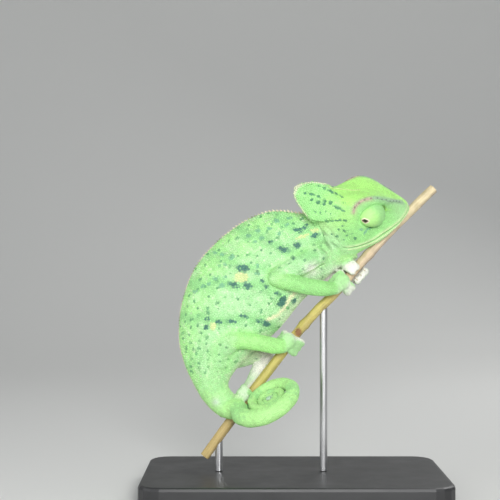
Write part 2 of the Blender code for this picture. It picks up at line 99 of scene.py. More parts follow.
# %% Light
MIDDLE = Vector((-0.01, 0.0, 0.075))


def area_light(name, place, size, power, colour=(1.0, 1.0, 1.0)):
    """A round soft light that looks at the middle of the model."""
    data = bpy.data.lights.new(name, "AREA")
    data.shape = "DISK"
    data.size = size
    data.energy = power
    data.color = colour
    made = link(name, data)
    made.location = place
    made.rotation_euler = (MIDDLE - Vector(place)).to_track_quat("-Z", "Y").to_euler()
    print(name, power, "W")


area_light("key_light", (0.05, -0.66, 0.24), 0.26, 4.4)
area_light("fill_light", (-0.60, -0.35, 0.22), 0.50, 1.2, (0.97, 0.99, 1.0))
area_light("back_light", (0.35, 0.42, 0.50), 0.40, 1.6)
world = bpy.data.worlds.new("studio")
world.use_nodes = True
sky = world.node_tree.nodes["Background"].inputs
sky["Color"].default_value = (0.94, 0.97, 1.0, 1.0)
sky["Strength"].default_value = 0.35
bpy.context.scene.world = world
bpy.context.scene.view_settings.view_transform = "Standard"

# %% [markdown]
# ## Floor
#
# A sheet of pale card that curves up behind the model gives a floor with no horizon.


# %% Floor
FLOOR_HALF_WIDTH = 2.2           # metres, as the lengths below
FLOOR_FRONT = -0.8
FLOOR_FLAT = 1.3
FLOOR_BEND = 0.5
FLOOR_RISE = 1.6


def curved_card():
    """A sheet that lies flat, bends up in a quarter of a circle and rises behind the model."""
    bm = bmesh.new()
    bmesh.ops.create_grid(bm, x_segments=4, y_segments=40, size=1.0)
    quarter = FLOOR_BEND * math.pi / 2
    for vert in bm.verts:
        along = (vert.co.y + 1.0) / 2.0 * (FLOOR_FLAT + quarter + FLOOR_RISE)
        turn = min(max((along - FLOOR_FLAT) / FLOOR_BEND, 0.0), math.pi / 2)
        deep = FLOOR_FRONT + min(along, FLOOR_FLAT) + FLOOR_BEND * math.sin(turn)
        high = FLOOR_BEND * (1.0 - math.cos(turn)) + max(0.0, along - FLOOR_FLAT - quarter)
        vert.co = (vert.co.x * FLOOR_HALF_WIDTH, deep, high)
    return new_object("floor", bm)


def new_material(name):
    """A new material, its node tree and its shader."""
    made = bpy.data.materials.new(name)
    made.use_nodes = True
    return made, made.node_tree, made.node_tree.nodes["Principled BSDF"]


floor = curved_card()
floor.data.shade_smooth()
card, _, card_shader = new_material("card")
card_shader.inputs["Base Color"].default_value = (0.72, 0.72, 0.70, 1.0)
card_shader.inputs["Roughness"].default_value = 0.9
floor.data.materials.append(card)
print("floor", len(floor.data.polygons), "faces")

# %% [markdown]
# ## Curves and bodies
#
# Every part of the animal is a body that follows a line: a row of numbers at each station says where the
# line goes and how thick the body is there.  A smooth curve is drawn through the rows, rings of points are
# laid round it, and a grid of quads is wrapped over the rings.


# %% Rows to rings to bodies
CAP_TURNS = np.radians([15.0, 35.0, 55.0, 72.0, 85.0])


def smooth_rows(rows, count):
    """Catmull-Rom curve through rows of numbers, read at count even steps."""
    rows = np.array(rows, dtype=float)
    padded = np.vstack([2 * rows[0] - rows[1], rows, 2 * rows[-1] - rows[-2]])
    places = np.linspace(0.0, len(rows) - 1, count)
    first = np.minimum(places.astype(int), len(rows) - 2)
    t = (places - first)[:, None]
    a, b, c, d = (padded[first + i] for i in range(4))
    square = 2 * a - 5 * b + 4 * c - d
    cube = 3 * b - a - 3 * c + d
    return 0.5 * (2 * b + (c - a) * t + square * t ** 2 + cube * t ** 3)


def unit(values):
    """Rows of vectors made one long."""
    return values / np.maximum(np.linalg.norm(values, axis=-1, keepdims=True), 1e-12)


def wrap(rings, flat_map=""):
    """A closed body from a grid of quads wrapped over rings of points, with a UV map if it is named."""
    count, sides = rings.shape[:2]
    bm = bmesh.new()
    bmesh.ops.create_grid(bm, x_segments=count - 1, y_segments=sides, size=1.0)
    if flat_map:
        layer = bm.loops.layers.uv.new(flat_map)
        for face in bm.faces:
            for loop in face.loops:
                loop[layer].uv = ((loop.vert.co.y + 1.0) / 2.0, (loop.vert.co.x + 1.0) / 2.0)
    for vert in bm.verts:
        i = round((vert.co.x + 1.0) / 2.0 * (count - 1))
        k = round((vert.co.y + 1.0) / 2.0 * sides) % sides
        vert.co = rings[i, k] * MM
    bmesh.ops.remove_doubles(bm, verts=bm.verts, dist=1e-7)
    bmesh.ops.holes_fill(bm, edges=bm.edges, sides=0)
    bmesh.ops.triangulate(bm, faces=[face for face in bm.faces if len(face.verts) > 4])
    bmesh.ops.recalc_face_normals(bm, faces=bm.faces)
    return bm


def tube_rings(rows, sides, domed=True):
    """Rings round a line of x, y, z, radius; domed ends shrink to nearly nothing."""
    rows = np.array(rows, dtype=float)
    if domed:
        caps = []
        for end, inner in ((rows[0], rows[1]), (rows[-1], rows[-2])):
            ahead = unit(end[:3] - inner[:3])
            reach = np.sin(CAP_TURNS)[:, None] * ahead * end[3] + end[:3]
            caps.append(np.hstack([reach, (np.cos(CAP_TURNS) * end[3])[:, None]]))
        rows = np.vstack([caps[0][::-1], rows, caps[1]])
    points = rows[:, :3]
    ahead = unit(np.gradient(points, axis=0))
    side = np.array(Vector(ahead[0]).orthogonal().normalized())
    rings = []
    turns = np.linspace(0.0, 2 * math.pi, sides, endpoint=False)[:, None]
    for point, way, radius in zip(points, ahead, rows[:, 3]):
        side = unit(side - way * np.dot(side, way))
        across = np.cross(way, side)
        rings.append(point + (side * np.cos(turns) + across * np.sin(turns)) * radius)
    return np.array(rings)


def join_bodies(all_rings, flat_map=""):
    """One mesh of many closed bodies."""
    joined = bmesh.new()
    for rings in all_rings:
        body = wrap(rings, flat_map)
        mesh = bpy.data.meshes.new("body")
        body.to_mesh(mesh)
        body.free()
        joined.from_mesh(mesh)
        bpy.data.meshes.remove(mesh)
    return joined


def apply_modifiers(piece):
    """Keep the evaluated mesh and drop the modifiers."""
    graph = bpy.context.evaluated_depsgraph_get()
    mesh = bpy.data.meshes.new_from_object(piece.evaluated_get(graph))
    piece.modifiers.clear()
    piece.data = mesh
    return piece


print("domed ends turn in", len(CAP_TURNS), "steps")

# %% [markdown]
# ## Trunk
#
# The trunk is deep and narrow, with a keel along the back.  Each station gives a point on the back ridge,
# a point on the belly and half the width between the flanks.  The skin lies under the solid parts by the
# thickness of the scales, so that the scales reach the true outline.

# %% Trunk
COAT = 0.22                      # depth of the scales over the skin
TRUNK = [
    ((18.0, -8.5, 118.0), (27.0, 7.0, 98.5), 8.0),
    ((5.0, -6.5, 116.0), (18.6, 6.0, 93.2), 8.4),
    ((-9.7, -1.5, 117.0), (10.0, 2.0, 85.6), 9.8),
    ((-25.2, 0.0, 110.2), (1.5, 0.0, 77.0), 11.3),
    ((-39.6, 0.0, 96.2), (-5.5, 0.0, 68.5), 11.8),
    ((-47.0, 0.0, 79.1), (-13.0, 0.0, 61.5), 11.2),
    ((-47.9, 0.0, 60.5), (-19.5, 0.0, 56.0), 9.0),
    ((-41.5, -0.3, 43.4), (-27.4, -0.3, 45.0), 6.2),
    ((-30.6, -2.3, 30.6), (-22.8, -2.3, 38.0), 4.8),
]
KEEL = 0.25                      # how sharp the back ridge is
PEAR = 0.10                      # how much wider the belly is than the back
TRUNK_ROWS = 120
TRUNK_SIDES = 96


def trunk_rings():
    """Rings of the trunk; the first point of a ring is on the back ridge and the next ones go right."""
    rows = smooth_rows([list(back) + list(belly) + [width] for back, belly, width in TRUNK], TRUNK_ROWS)
    back, belly, width = rows[:, 0:3], rows[:, 3:6], rows[:, 6] - COAT
    middle = (back + belly) / 2
    depth = (back - belly) / 2
    depth = depth * (1.0 - COAT / np.linalg.norm(depth, axis=1, keepdims=True))
    side = unit(np.cross(np.gradient(middle, axis=0), depth))
    side = side * -np.sign(side[:, 1:2])
    turn = np.linspace(0.0, 2 * math.pi, TRUNK_SIDES, endpoint=False)
    lift = np.cos(turn)
    spread = np.sign(np.sin(turn)) * np.abs(np.sin(turn)) ** (1.0 + KEEL * np.maximum(0.0, lift))
    spread = spread * (1.0 - PEAR * lift)
    return (middle[:, None] + depth[:, None] * lift[None, :, None]
            + side[:, None] * (width[:, None] * spread)[:, :, None])


trunk = trunk_rings()
print("trunk rings", trunk.shape)

# %% [markdown]
# ## Head
#
# The head has its own frame: back from the snout tip, up, and out to the animal's right.  The head is
# pitched up along the stem and rolled, so that the flat crown shows from the right.  Each station gives
# the chin, the mouth line, the cheek, the raised brow crest and the crown.

# %% Head
SNOUT = np.array((48.2, 0.0, 119.5))
HEAD_PITCH = math.radians(21.5)
HEAD_ROLL = math.radians(36.0)
# back, chin and its width, mouth and its width, cheek width, brow crest and its width, crown
HEAD = [
    (0.3, -1.3, 0.6, -0.3, 1.4, 1.5, 1.8, 0.8, 2.0),
    (2.3, -2.5, 2.1, -1.0, 3.5, 3.6, 4.9, 1.9, 5.0),
    (6.5, -3.6, 3.8, -2.2, 5.7, 5.6, 9.6, 5.2, 9.0),
    (10.5, -4.7, 5.2, -3.2, 7.2, 6.4, 14.0, 7.6, 12.8),
    (15.5, -5.7, 6.4, -3.7, 8.6, 6.7, 17.2, 8.8, 15.8),
    (21.0, -6.9, 7.2, -3.0, 9.8, 8.8, 17.4, 8.4, 18.0),
    (27.0, -7.7, 7.6, -1.5, 10.3, 9.7, 18.0, 6.6, 21.6),
    (33.0, -8.5, 7.6, 0.0, 9.6, 9.2, 19.5, 5.6, 25.0),
    (38.5, -9.0, 7.0, 0.0, 7.8, 7.8, 16.5, 4.6, 20.0),
]
HEAD_ROWS = 90
CHIN_SAG = 0.3
HEAD_FINE = 8                    # points between two corners of a head section

ahead = np.array((math.cos(HEAD_PITCH), 0.0, math.sin(HEAD_PITCH)))
above = np.array((-math.sin(HEAD_PITCH), 0.0, math.cos(HEAD_PITCH)))
near = np.array((0.0, -1.0, 0.0))
CROWN_WAY = above * math.cos(HEAD_ROLL) + near * math.sin(HEAD_ROLL)
RIGHT_WAY = near * math.cos(HEAD_ROLL) - above * math.sin(HEAD_ROLL)
HEAD_AXES = np.array((-ahead, CROWN_WAY, RIGHT_WAY))


def head_point(back, up, side):
    """World place of points given in the head frame."""
    return SNOUT + np.stack([back, up, side], axis=-1) @ HEAD_AXES


def to_head(points):
    """Back, up and side in the head frame of world points."""
    return (points - SNOUT) @ HEAD_AXES.T


def head_rings():
    """Closed sections of the head, from the snout back, thinner by the coat."""
    rings = []
    for back, chin, chin_w, mouth, jaw_w, cheek_w, crest, crest_w, crown in smooth_rows(HEAD, HEAD_ROWS):
        middle = (mouth + crest) / 2
        half = [(chin, chin_w), (mouth, jaw_w), (middle, cheek_w), (crest, crest_w)]
        other = [(up, -side) for up, side in reversed(half)]
        corners = [(chin - CHIN_SAG, 0.0)] + half + [(crown, 0.0)] + other
        closed = corners[-1:] + corners + corners[:2]
        ring = smooth_rows(closed, HEAD_FINE * (len(closed) - 1) + 1)
        ring = ring[HEAD_FINE:HEAD_FINE * (len(corners) + 1)]
        centre = ring.mean(axis=0)
        ring = ring - unit(ring - centre) * min(COAT, 0.3 * jaw_w)
        rings.append(head_point(np.full(len(ring), back), ring[:, 0], ring[:, 1]))
    return np.array(rings)


head = head_rings()
print("head rings", head.shape)

# %% [markdown]
# ## Skin lobes
#
# Two rounded flaps of skin stand off the nape.  Each is a soft disc whose rim curls out, thick enough to
# carry large flat scales on both faces.

# %% Lobes
LOBE_BACK = 36.6
LOBE_UP = 22.6
LOBE_HALF_LENGTH = 10.3
LOBE_HALF_HEIGHT = 7.0
LOBE_TURN = math.radians(46.0)   # its long way points up and back
LOBE_POINT = (0.5, 0.15)         # how much it narrows to its end, below and above
LOBE_SIDE = 4.2
LOBE_LEAN = 0.45
LOBE_FLARE = 2.6
LOBE_RIM = 0.7
LOBE_THICKNESS = 2.1
LOBE_DROP = 2.6                  # how much lower the left one lies
LOBE_GAP = 0.42


def lobe_place(x, y, rim):
    """Back, up and side of a point of the lobe; x runs along it and y across it, from -1 to 1."""
    long = x * (LOBE_HALF_LENGTH - COAT)
    narrow = 1.0 - np.where(np.less(y, 0.0), *LOBE_POINT) * np.maximum(0.0, x)
    high = y * (LOBE_HALF_HEIGHT - COAT) * narrow
    back = long * math.cos(LOBE_TURN) - high * math.sin(LOBE_TURN)
    up = long * math.sin(LOBE_TURN) + high * math.cos(LOBE_TURN)
    side = LOBE_SIDE - LOBE_LEAN * up + LOBE_FLARE * back / LOBE_HALF_LENGTH + LOBE_RIM * rim ** 4
    side = np.maximum(side, LOBE_THICKNESS * 0.5 + LOBE_GAP)
    return np.stack([LOBE_BACK + back, LOBE_UP + up, side], axis=-1)


def lobe_side(place, hand):
    """Places of the right lobe carried to one hand; the left one lies lower."""
    drop = LOBE_DROP if hand < 0 else 0.0
    return place * (1.0, 1.0, hand) - np.array((0.5 * drop, drop, 0.0))


def lobe_body(hand):
    """One lobe: a round sheet bent into place and given its thickness."""
    bm = bmesh.new()
    bmesh.ops.create_grid(bm, x_segments=40, y_segments=40, size=1.0)
    for vert in bm.verts:
        x, y = vert.co.x, vert.co.y
        disc = Vector((x * math.sqrt(1 - y * y / 2), y * math.sqrt(1 - x * x / 2), 0.0))
        place = lobe_place(disc.x, disc.y, min(disc.length, 1.0))
        vert.co = head_point(*lobe_side(place, hand)) * MM
    bmesh.ops.recalc_face_normals(bm, faces=bm.faces)
    sheet = new_object("lobe", bm)
    thick = sheet.modifiers.new("thick", "SOLIDIFY")
    thick.thickness = (LOBE_THICKNESS - 2 * COAT) * MM
    thick.offset = 0.0
    return apply_modifiers(sheet)


print("lobe", 2 * LOBE_HALF_LENGTH, "by", 2 * LOBE_HALF_HEIGHT, "mm")

# %% [markdown]
# ## Tail
#
# The tail leaves the trunk, swings under it and winds into a flat spiral that leans towards the viewer.
# Each turn is a fixed share of the turn before, which keeps the turns just apart; the tip tucks inside.

# %% Tail
COIL_CENTRE = np.array((-10.6, -12.3, 40.0))
COIL_LEAN = math.radians(26.0)
COIL_TILT = math.radians(67.7)
COIL_START = math.radians(180.0)
COIL_RADIUS = 13.85
COIL_SHRINK = 0.538
COIL_TURNS = 4.0
COIL_THICKNESS = 0.285
COIL_TIP_TURN = 2.0
COIL_TIP_TUCK = 0.03
COIL_TIP_TAPER = 0.04
COIL_LONG = np.array((math.cos(COIL_LEAN), 0.0, math.sin(COIL_LEAN)))
COIL_DEEP = np.array((math.cos(COIL_TILT) * math.sin(COIL_LEAN), -math.sin(COIL_TILT),
                      -math.cos(COIL_TILT) * math.cos(COIL_LEAN)))
COIL_LEAST = 0.8                 # share of the tube's radius that the skin keeps at the tip
COIL_HEART = 0.75                # the tip closes the middle of the coil with this radius
TAIL_ROOT = [(-34.5, 0.0, 49.0, 6.0), (-33.9, -0.5, 42.8, 6.4), (-28.2, -2.8, 35.4, 5.0)]


def coil_row(turn):
    """Centre and radius of the coiled tail after a number of turns."""
    angle = COIL_START - 2 * math.pi * turn
    reach = COIL_RADIUS * COIL_SHRINK ** turn
    thick = reach * COIL_THICKNESS
    inner = max(0.0, turn - COIL_TIP_TURN)
    reach -= COIL_TIP_TUCK * inner ** 2
    thick *= 1.0 - COIL_TIP_TAPER * inner
    place = COIL_CENTRE + (COIL_LONG * math.cos(angle) + COIL_DEEP * math.sin(angle)) * reach
    return (*place, thick)


def tail_rows():
    """The whole tail as one line, finer where it winds tighter."""
    root = smooth_rows(TAIL_ROOT + [coil_row(-0.04), coil_row(0.03)], 40)[:-6]
    turns = np.linspace(0.0, 1.0, 260) * COIL_TURNS
    coil = np.array([coil_row(turn) for turn in turns if turn > 0.02])
    heart = np.linspace(coil[-1], (*COIL_CENTRE, COIL_HEART + COAT), 12)[1:]
    rows = np.vstack([root, coil, heart])
    number = np.concatenate([np.linspace(-0.8, 0.0, len(root)), turns[turns > 0.02],
                             np.full(len(heart), COIL_TURNS)])
    rows[:, 3] = np.maximum(rows[:, 3] - COAT, rows[:, 3] * COIL_LEAST)
    return rows, number


tail_line, tail_turn = tail_rows()
print("tail rows", len(tail_line))

# %% [markdown]
# ## Stem line
#
# The stem is one slightly bent line; the feet need it too, because they close round it.

# %% Stem line
STEM_RADIUS = 2.1
STEM_AXIS = [
    (-37.4, 0.2, 14.2), (-29.2, 0.0, 25.6), (-10.7, 0.0, 50.0), (1.3, 0.0, 65.9), (9.2, 0.0, 74.8),
    (16.4, 0.0, 81.9), (27.7, 0.6, 94.9), (37.0, 2.0, 105.0), (49.0, 5.2, 116.8), (59.6, 7.4, 126.9),
]
stem_line = smooth_rows(STEM_AXIS, 200)


def stem_place(x):
    """Point and direction of the stem's axis at a given x."""
    i = int(np.clip(np.argmin(np.abs(stem_line[:, 0] - x)), 1, len(stem_line) - 2))
    return stem_line[i], unit(stem_line[i + 1] - stem_line[i - 1])


print("stem", round(2 * STEM_RADIUS, 1), "mm thick")

# %% [markdown]
# ## Limbs and feet
#
# A limb is two tapered lengths that meet at a sharp elbow or knee.  A foot is a palm with two bundles of
# toes, two on one side of the stem and three on the other, fused but for their tips, like mittens.

# %% Limbs and feet
ARM_RIGHT = [
    (9.5, -4.9, 99.2, 5.2), (2.5, -7.4, 95.0, 4.9), (-7.2, -11.8, 89.6, 4.1), (-1.5, -12.4, 87.4, 3.7),
    (5.0, -11.3, 85.9, 3.5), (12.0, -8.8, 84.9, 3.3), (17.0, -6.0, 85.0, 2.8),
]
ARM_LEFT = [
    (10.5, 7.3, 97.0, 4.7), (6.0, 9.7, 91.5, 4.5), (3.5, 11.6, 87.5, 4.0), (6.0, 11.6, 87.0, 3.7),
    (11.0, 10.4, 89.0, 3.4), (15.6, 8.7, 91.0, 3.2), (20.4, 6.5, 92.2, 2.8),
]
LEG_RIGHT = [
    (-31.2, -4.3, 54.6, 5.0), (-29.7, -5.6, 59.5, 5.1), (-25.6, -8.9, 63.6, 4.4), (-22.0, -9.9, 63.7, 3.9),
    (-15.0, -10.4, 62.7, 3.5), (-9.0, -8.8, 61.4, 3.4), (-4.8, -6.2, 61.0, 3.1),
]
LEG_LEFT = [
    (-30.0, 6.8, 54.4, 5.0), (-22.0, 8.4, 55.6, 4.8), (-13.6, 9.6, 57.2, 4.2), (-11.9, 9.3, 55.2, 3.7),
    (-14.4, 7.6, 50.0, 3.4), (-17.2, 5.6, 44.8, 3.0),
]
# each limb: its rows, where the palm meets the stem, toes on the outer and the inner side
LIMBS = {
    "arm_right": (ARM_RIGHT, 20.4, 2, 3), "arm_left": (ARM_LEFT, 25.2, 2, 3),
    "leg_right": (LEG_RIGHT, -1.6, 3, 2), "leg_left": (LEG_LEFT, -19.0, 3, 2),
}
ELBOW_ROW = 2
TOE_RADIUS = 1.7
TOE_PITCH = 2.5
TOE_ROWS = 7
TOE_REACH = math.radians(142.0)  # how far a toe closes round the stem
TOE_COAT = 0.12                  # toes carry the finest scales
PALM_RADIUS = 3.5
PALM_OUT = 0.9
CLAW_ROWS = 5
CLAW_REACH = 0.67                # radians round the stem past the toe
CLAW_ARCH = 0.35
GRIP_GAP = 0.3
GRIP_RING = STEM_RADIUS + GRIP_GAP + TOE_RADIUS * 0.9


def grip_frame(limb, grip_x):
    """Centre of a grip, the stem's direction, the way to the wrist and the way across both."""
    centre, along = stem_place(grip_x)
    reach = np.array(limb[-1][:3]) - centre
    reach = unit(reach - along * np.dot(reach, along))
    return centre, along, reach, np.cross(along, reach)


def toe_lines(limb, grip_x, outer, inner):
    """For each toe its rows from palm to tip and the line of its claw."""
    centre, along, reach, across = grip_frame(limb, grip_x)

    def round_stem(angle):
        return reach * math.cos(angle) + across * math.sin(angle)

    lines = []
    for count, way in ((outer, 1.0), (inner, -1.0)):
        for i in range(count):
            shift = along * (i - (count - 1) / 2) * TOE_PITCH
            rows = []
            for k in range(TOE_ROWS):
                turned = round_stem(way * TOE_REACH * k / (TOE_ROWS - 1))
                spot = centre + shift * min(1.0, 0.45 + 0.25 * k) + turned * GRIP_RING
                rows.append((*spot, TOE_RADIUS * (1.12 - 0.045 * k)))
            claw = []
            for k in range(CLAW_ROWS):
                turned = round_stem(way * (TOE_REACH + CLAW_REACH * k / (CLAW_ROWS - 1)))
                claw.append(centre + shift + turned * (GRIP_RING + CLAW_ARCH * math.sin(k * 0.8)))
            lines.append((rows, claw))
    return lines


def limb_bodies(limb, grip_x, outer, inner):
    """All the overlapping bodies of one limb, thinner by the coat."""
    centre, along, reach, across = grip_frame(limb, grip_x)
    thin = np.array(limb) - (0.0, 0.0, 0.0, COAT)
    palm = centre + reach * (GRIP_RING + PALM_OUT)
    wrist = [tuple(thin[-1]), (*palm, 2.6), (*(centre + reach * GRIP_RING), 2.1)]
    ball = [(*(palm - 0.1 * along), PALM_RADIUS), (*(palm + 0.1 * along), PALM_RADIUS)]
    bodies = [tube_rings(smooth_rows(thin[:ELBOW_ROW + 1], 24), 32),
              tube_rings(smooth_rows(thin[ELBOW_ROW:], 30), 32),
              tube_rings(smooth_rows(wrist, 12), 24), tube_rings(ball, 24)]
    for rows, claw in toe_lines(limb, grip_x, outer, inner):
        toe = smooth_rows(rows, 24)
        toe[:, 3] -= TOE_COAT
        bodies.append(tube_rings(toe, 18))
    return bodies


limb_rings = [rings for limb in LIMBS.values() for rings in limb_bodies(*limb)]
print("limb bodies", len(limb_rings))

# %% [markdown]
# ## One skin
#
# The overlapping bodies are fused by a voxel remesh into one closed skin with no seams, and a few rounds
# of smoothing round off the joins between limb and flank as soft tissue would.

# %% Fuse the skin
SKIN_VOXEL = 0.42
SKIN_TRIANGLES = 190000
SKIN_ROUNDS = 10                 # rounds of smoothing, all over and at the feet
FOOT_ROUNDS = 36
HEAD_MIDDLE = np.array((25.0, -2.0, 115.0))
HEAD_KEPT = (20.0, 28.0)         # full detail within the first distance, plain beyond the second


def fuse_skin():
    """Every body of the animal fused into one closed mesh."""
    joined = join_bodies([trunk, head, tube_rings(tail_line, 28)] + limb_rings)
    for hand in (1, -1):
        lobe = lobe_body(hand)
        joined.from_mesh(lobe.data)
        bpy.data.objects.remove(lobe, do_unlink=True)
    made = new_object("skin", joined)
    remesh = made.modifiers.new("fuse", "REMESH")
    remesh.mode = "VOXEL"
    remesh.voxel_size = SKIN_VOXEL * MM
    return apply_modifiers(made)


def thin_skin(piece, keep):
    """Fewer triangles on the body; the head keeps its own."""
    points = vert_array(piece.data)
    away = np.linalg.norm(points - HEAD_MIDDLE, axis=1)
    plain = np.clip((away - HEAD_KEPT[0]) / (HEAD_KEPT[1] - HEAD_KEPT[0]), 0.0, 1.0)
    group = piece.vertex_groups.new(name="plain")
    for i in np.flatnonzero(plain > 0.05):
        group.add([int(i)], float(plain[i]), "REPLACE")
    thin = piece.modifiers.new("thin", "DECIMATE")
    thin.ratio = keep / (2 * len(piece.data.polygons))
    thin.vertex_group = "plain"
    apply_modifiers(piece)
    piece.vertex_groups.clear()


def read_all(items, field, width, kind=np.float32):
    """One field of every item, as rows."""
    flat = np.empty(len(items) * width, dtype=kind)
    items.foreach_get(field, flat)
    return flat.reshape(-1, width)


def vert_array(mesh):
    """Places of the vertices, in millimetres."""
    return read_all(mesh.vertices, "co", 3).astype(float) / MM


def set_verts(mesh, points):
    """Moves the points of a mesh; millimetres in, metres kept."""
    mesh.vertices.foreach_set("co", (points * MM).astype(np.float32).ravel())
    mesh.update()


def normal_array(mesh):
    """The smooth normal at each point of a mesh."""
    return read_all(mesh.vertex_normals, "vector", 3).astype(float)


def neighbour_mean(values, edges, count):
    """Mean of each vertex's neighbours."""
    total = np.zeros_like(values)
    for axis in range(values.shape[1]):
        for one, other in (edges.T, edges.T[::-1]):
            total[:, axis] += np.bincount(one, values[other, axis], len(values))
    return total / count[:, None]


def smooth_skin(mesh, rounds, weight):
    """Smoothing that keeps volume: each step in is followed by a slightly larger step out."""
    points = vert_array(mesh)
    edges = read_all(mesh.edges, "vertices", 2, np.int32)
    count = np.bincount(edges.ravel(), minlength=len(points)).astype(float)
    for i in range(rounds):
        for step in (0.5, -0.51):
            points += (neighbour_mean(points, edges, count) - points) * step * weight[:, None]
    set_verts(mesh, points)


def near_grips(points):
    """1 at the palms and toes, falling to 0 on the limbs."""
    grips = [stem_place(grip_x)[0] for limb, grip_x, outer, inner in LIMBS.values()]
    away = np.min([np.linalg.norm(points - grip, axis=1) for grip in grips], axis=0)
    return 1.0 - np.clip((away - 7.0) / 3.0, 0.0, 1.0)


skin = fuse_skin()
smooth_skin(skin.data, SKIN_ROUNDS, np.ones(len(skin.data.vertices)))
smooth_skin(skin.data, FOOT_ROUNDS, near_grips(vert_array(skin.data)))
thin_skin(skin, SKIN_TRIANGLES)
skin_points = vert_array(skin.data)
print("skin", len(skin.data.vertices), "vertices", len(skin.data.polygons), "faces")
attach(skin, "root")
FLESH = ["head", "neck", "trunk", "tail_base", "tail_outer_turn", "tail_inner_turn", "tail_tip",
         "lobe_right", "lobe_left"]
FLESH += [name + part for name in LIMBS for part in ("_upper", "_lower", "_foot")]
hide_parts(*FLESH)

# %% [markdown]
# ## Eyes: where they sit
#
# The eyeball is nearly covered by a cone of fused lids with a small opening.  The turret sits in a round
# socket under the brow, and a thin deep fold runs round it, so the skin is pushed in along that ring.

# %% Eye places and the fold round each turret
EYE_BACK = 17.1
EYE_UP = 8.5
EYE_SIDE = 7.0
EYE_RADIUS = 5.6
EYE_CONE = 0.9                   # how far the lids are drawn out, and from what share of the way
EYE_CONE_FROM = 0.55
EYE_GAZE = (0.62, 0.18, 0.76)    # back, up and out
FOLD_WAY = (-0.62, -0.78)        # the fold is deep in front of the turret and below it
CREASE_DEPTH = 0.6
HANDS = (("right", 1), ("left", -1))


def eye_centre(hand):
    """Middle of the turret of one hand."""
    return head_point(EYE_BACK, EYE_UP, hand * EYE_SIDE)


def eye_gaze(hand):
    """Line of sight of one hand."""
    return unit((np.array(EYE_GAZE) * (1.0, 1.0, hand)) @ HEAD_AXES)


def soft(values, low, high):
    """Smooth step from 0 at low to 1 at high."""
    t = np.clip((values - low) / (high - low), 0.0, 1.0)
    return t * t * (3.0 - 2.0 * t)


def bump(values, width):
    """A smooth hump, 1 at zero."""
    return np.exp(-(values / width) ** 2)


def ripple(points, size, seed):
    """Slow even noise between about -1 and 1: a few sine waves in seeded directions."""
    dice = np.random.default_rng(seed)
    total = np.zeros(len(points))
    for i in range(7):
        way = unit(dice.normal(size=3)) * (2 * math.pi / size) * dice.uniform(0.7, 1.6)
        total += np.sin(points @ way + dice.uniform(0, 2 * math.pi))
    return total / 3.0


print("turrets", round(2 * EYE_RADIUS, 1), "mm wide")

# %% [markdown]
# ## Folds of the skin
#
# A cast in one piece still has to show where the skin folds: the closed mouth, the rim of the socket, the
# slack skin behind the jaw, the creases of the armpit and the flank, and the pits of the nostrils.  Each is
# a shallow groove or ridge along a line, made by moving the skin along its own normals.

# %% Folds
MOUTH = np.array([
    (0.2, 0.9), (2.5, -0.3), (6.0, -1.9), (10.0, -2.4), (14.5, -2.8), (19.5, -3.1), (23.5, -3.0),
    (27.0, -2.6), (31.0, -1.7), (33.5, -0.2),
])
BROW = np.array([
    (2.6, 4.4, 2.4), (5.1, 7.8, 4.6), (8.6, 10.8, 6.6), (11.5, 13.6, 7.9), (14.0, 16.0, 8.6),
    (17.0, 17.3, 8.9), (20.0, 17.2, 8.7), (22.8, 15.9, 8.8), (24.2, 13.6, 9.1),
])
PARIETAL = [(17.5, 17.0, 0.0), (21.0, 18.6, 0.0), (25.0, 20.8, 0.0), (29.0, 23.2, 0.0), (33.0, 25.3, 0.0)]
NECK_FOLDS = [[(43.0, 17.5, 7.5), (38.8, 13.8, 8.6), (36.6, 8.7, 8.3), (35.7, 4.3, 8.8), (33.8, -0.2, 9.2)],
              [(44.5, 14.0, 8.5), (40.2, 10.5, 8.8), (37.9, 5.6, 8.5), (36.9, 1.2, 8.8), (35.6, -3.6, 9.0)],
              [(45.5, 10.5, 9.5), (41.8, 6.5, 9.0), (39.4, 2.2, 8.8), (38.0, -2.6, 9.2)]]
FLANK_FOLDS = [[(-6.3, 82.1), (-7.7, 80.0), (-10.0, 77.1), (-11.1, 75.6)],
               [(-4.8, 82.6), (-6.2, 79.6), (-7.7, 77.1), (-9.8, 75.0)],
               [(-8.0, 82.0), (-9.6, 79.2), (-11.8, 76.5), (-13.0, 75.4)]]
ARMPIT_FOLDS = [[(-1.5, 90.2), (4.1, 92.4), (10.1, 95.3), (15.2, 97.6)],
                [(5.0, 88.9), (8.5, 92.3), (12.6, 96.0)]]
NOSTRIL = (6.3, 2.9, 4.6)
# depth or height, and width, of each groove or ridge
MOUTH_GROOVE = (0.55, 0.34)
LIP_OVER = (0.22, 0.5)
LIP_UNDER = (0.16, 0.5)
LIP_AWAY = 0.95
BROW_RIDGE = (0.45, 0.7)
CASQUE_RIDGE = (0.35, 0.8)
NECK_RIDGE = (0.38, 0.8)
NECK_GROOVE = (0.30, 0.6)
SOCKET_FOLD = (0.8, 0.75)
SOCKET_RISE = (0.9, 1.7)         # behind and above, the skin runs smoothly on to the turret
NOSTRIL_PIT = (0.45, 0.42)
NOSTRIL_RIM = (0.16, 0.4)
FLANK_RIDGE = (0.20, 0.45)
FLANK_GROOVE = (0.24, 0.35)
ARMPIT_GROOVE = (0.30, 0.40)
print("fold lines", 2 + len(NECK_FOLDS) + len(FLANK_FOLDS) + len(ARMPIT_FOLDS))

# %% [markdown]
# ## Push the folds in
#
# Each point of the skin finds its distance to the line of a fold and moves in or out along its normal by
# a bell curve of that distance, so no edge is sharp.  Modelling by hand would do the same with a brush.


# %% Fold the skin
CREASE_TURNS = 0.4               # parts of the tail further apart than this are two turns
CREASE_WIDE = (2.1, 0.8)         # width on the inner and on the outer one of two turns that touch
CREASE_CHUNK = 8192              # points worked on at once, to spare memory


def fold(gap, size):
    """Height of a ridge of a given height and width, at a distance from its line."""
    return size[0] * bump(gap, size[1])


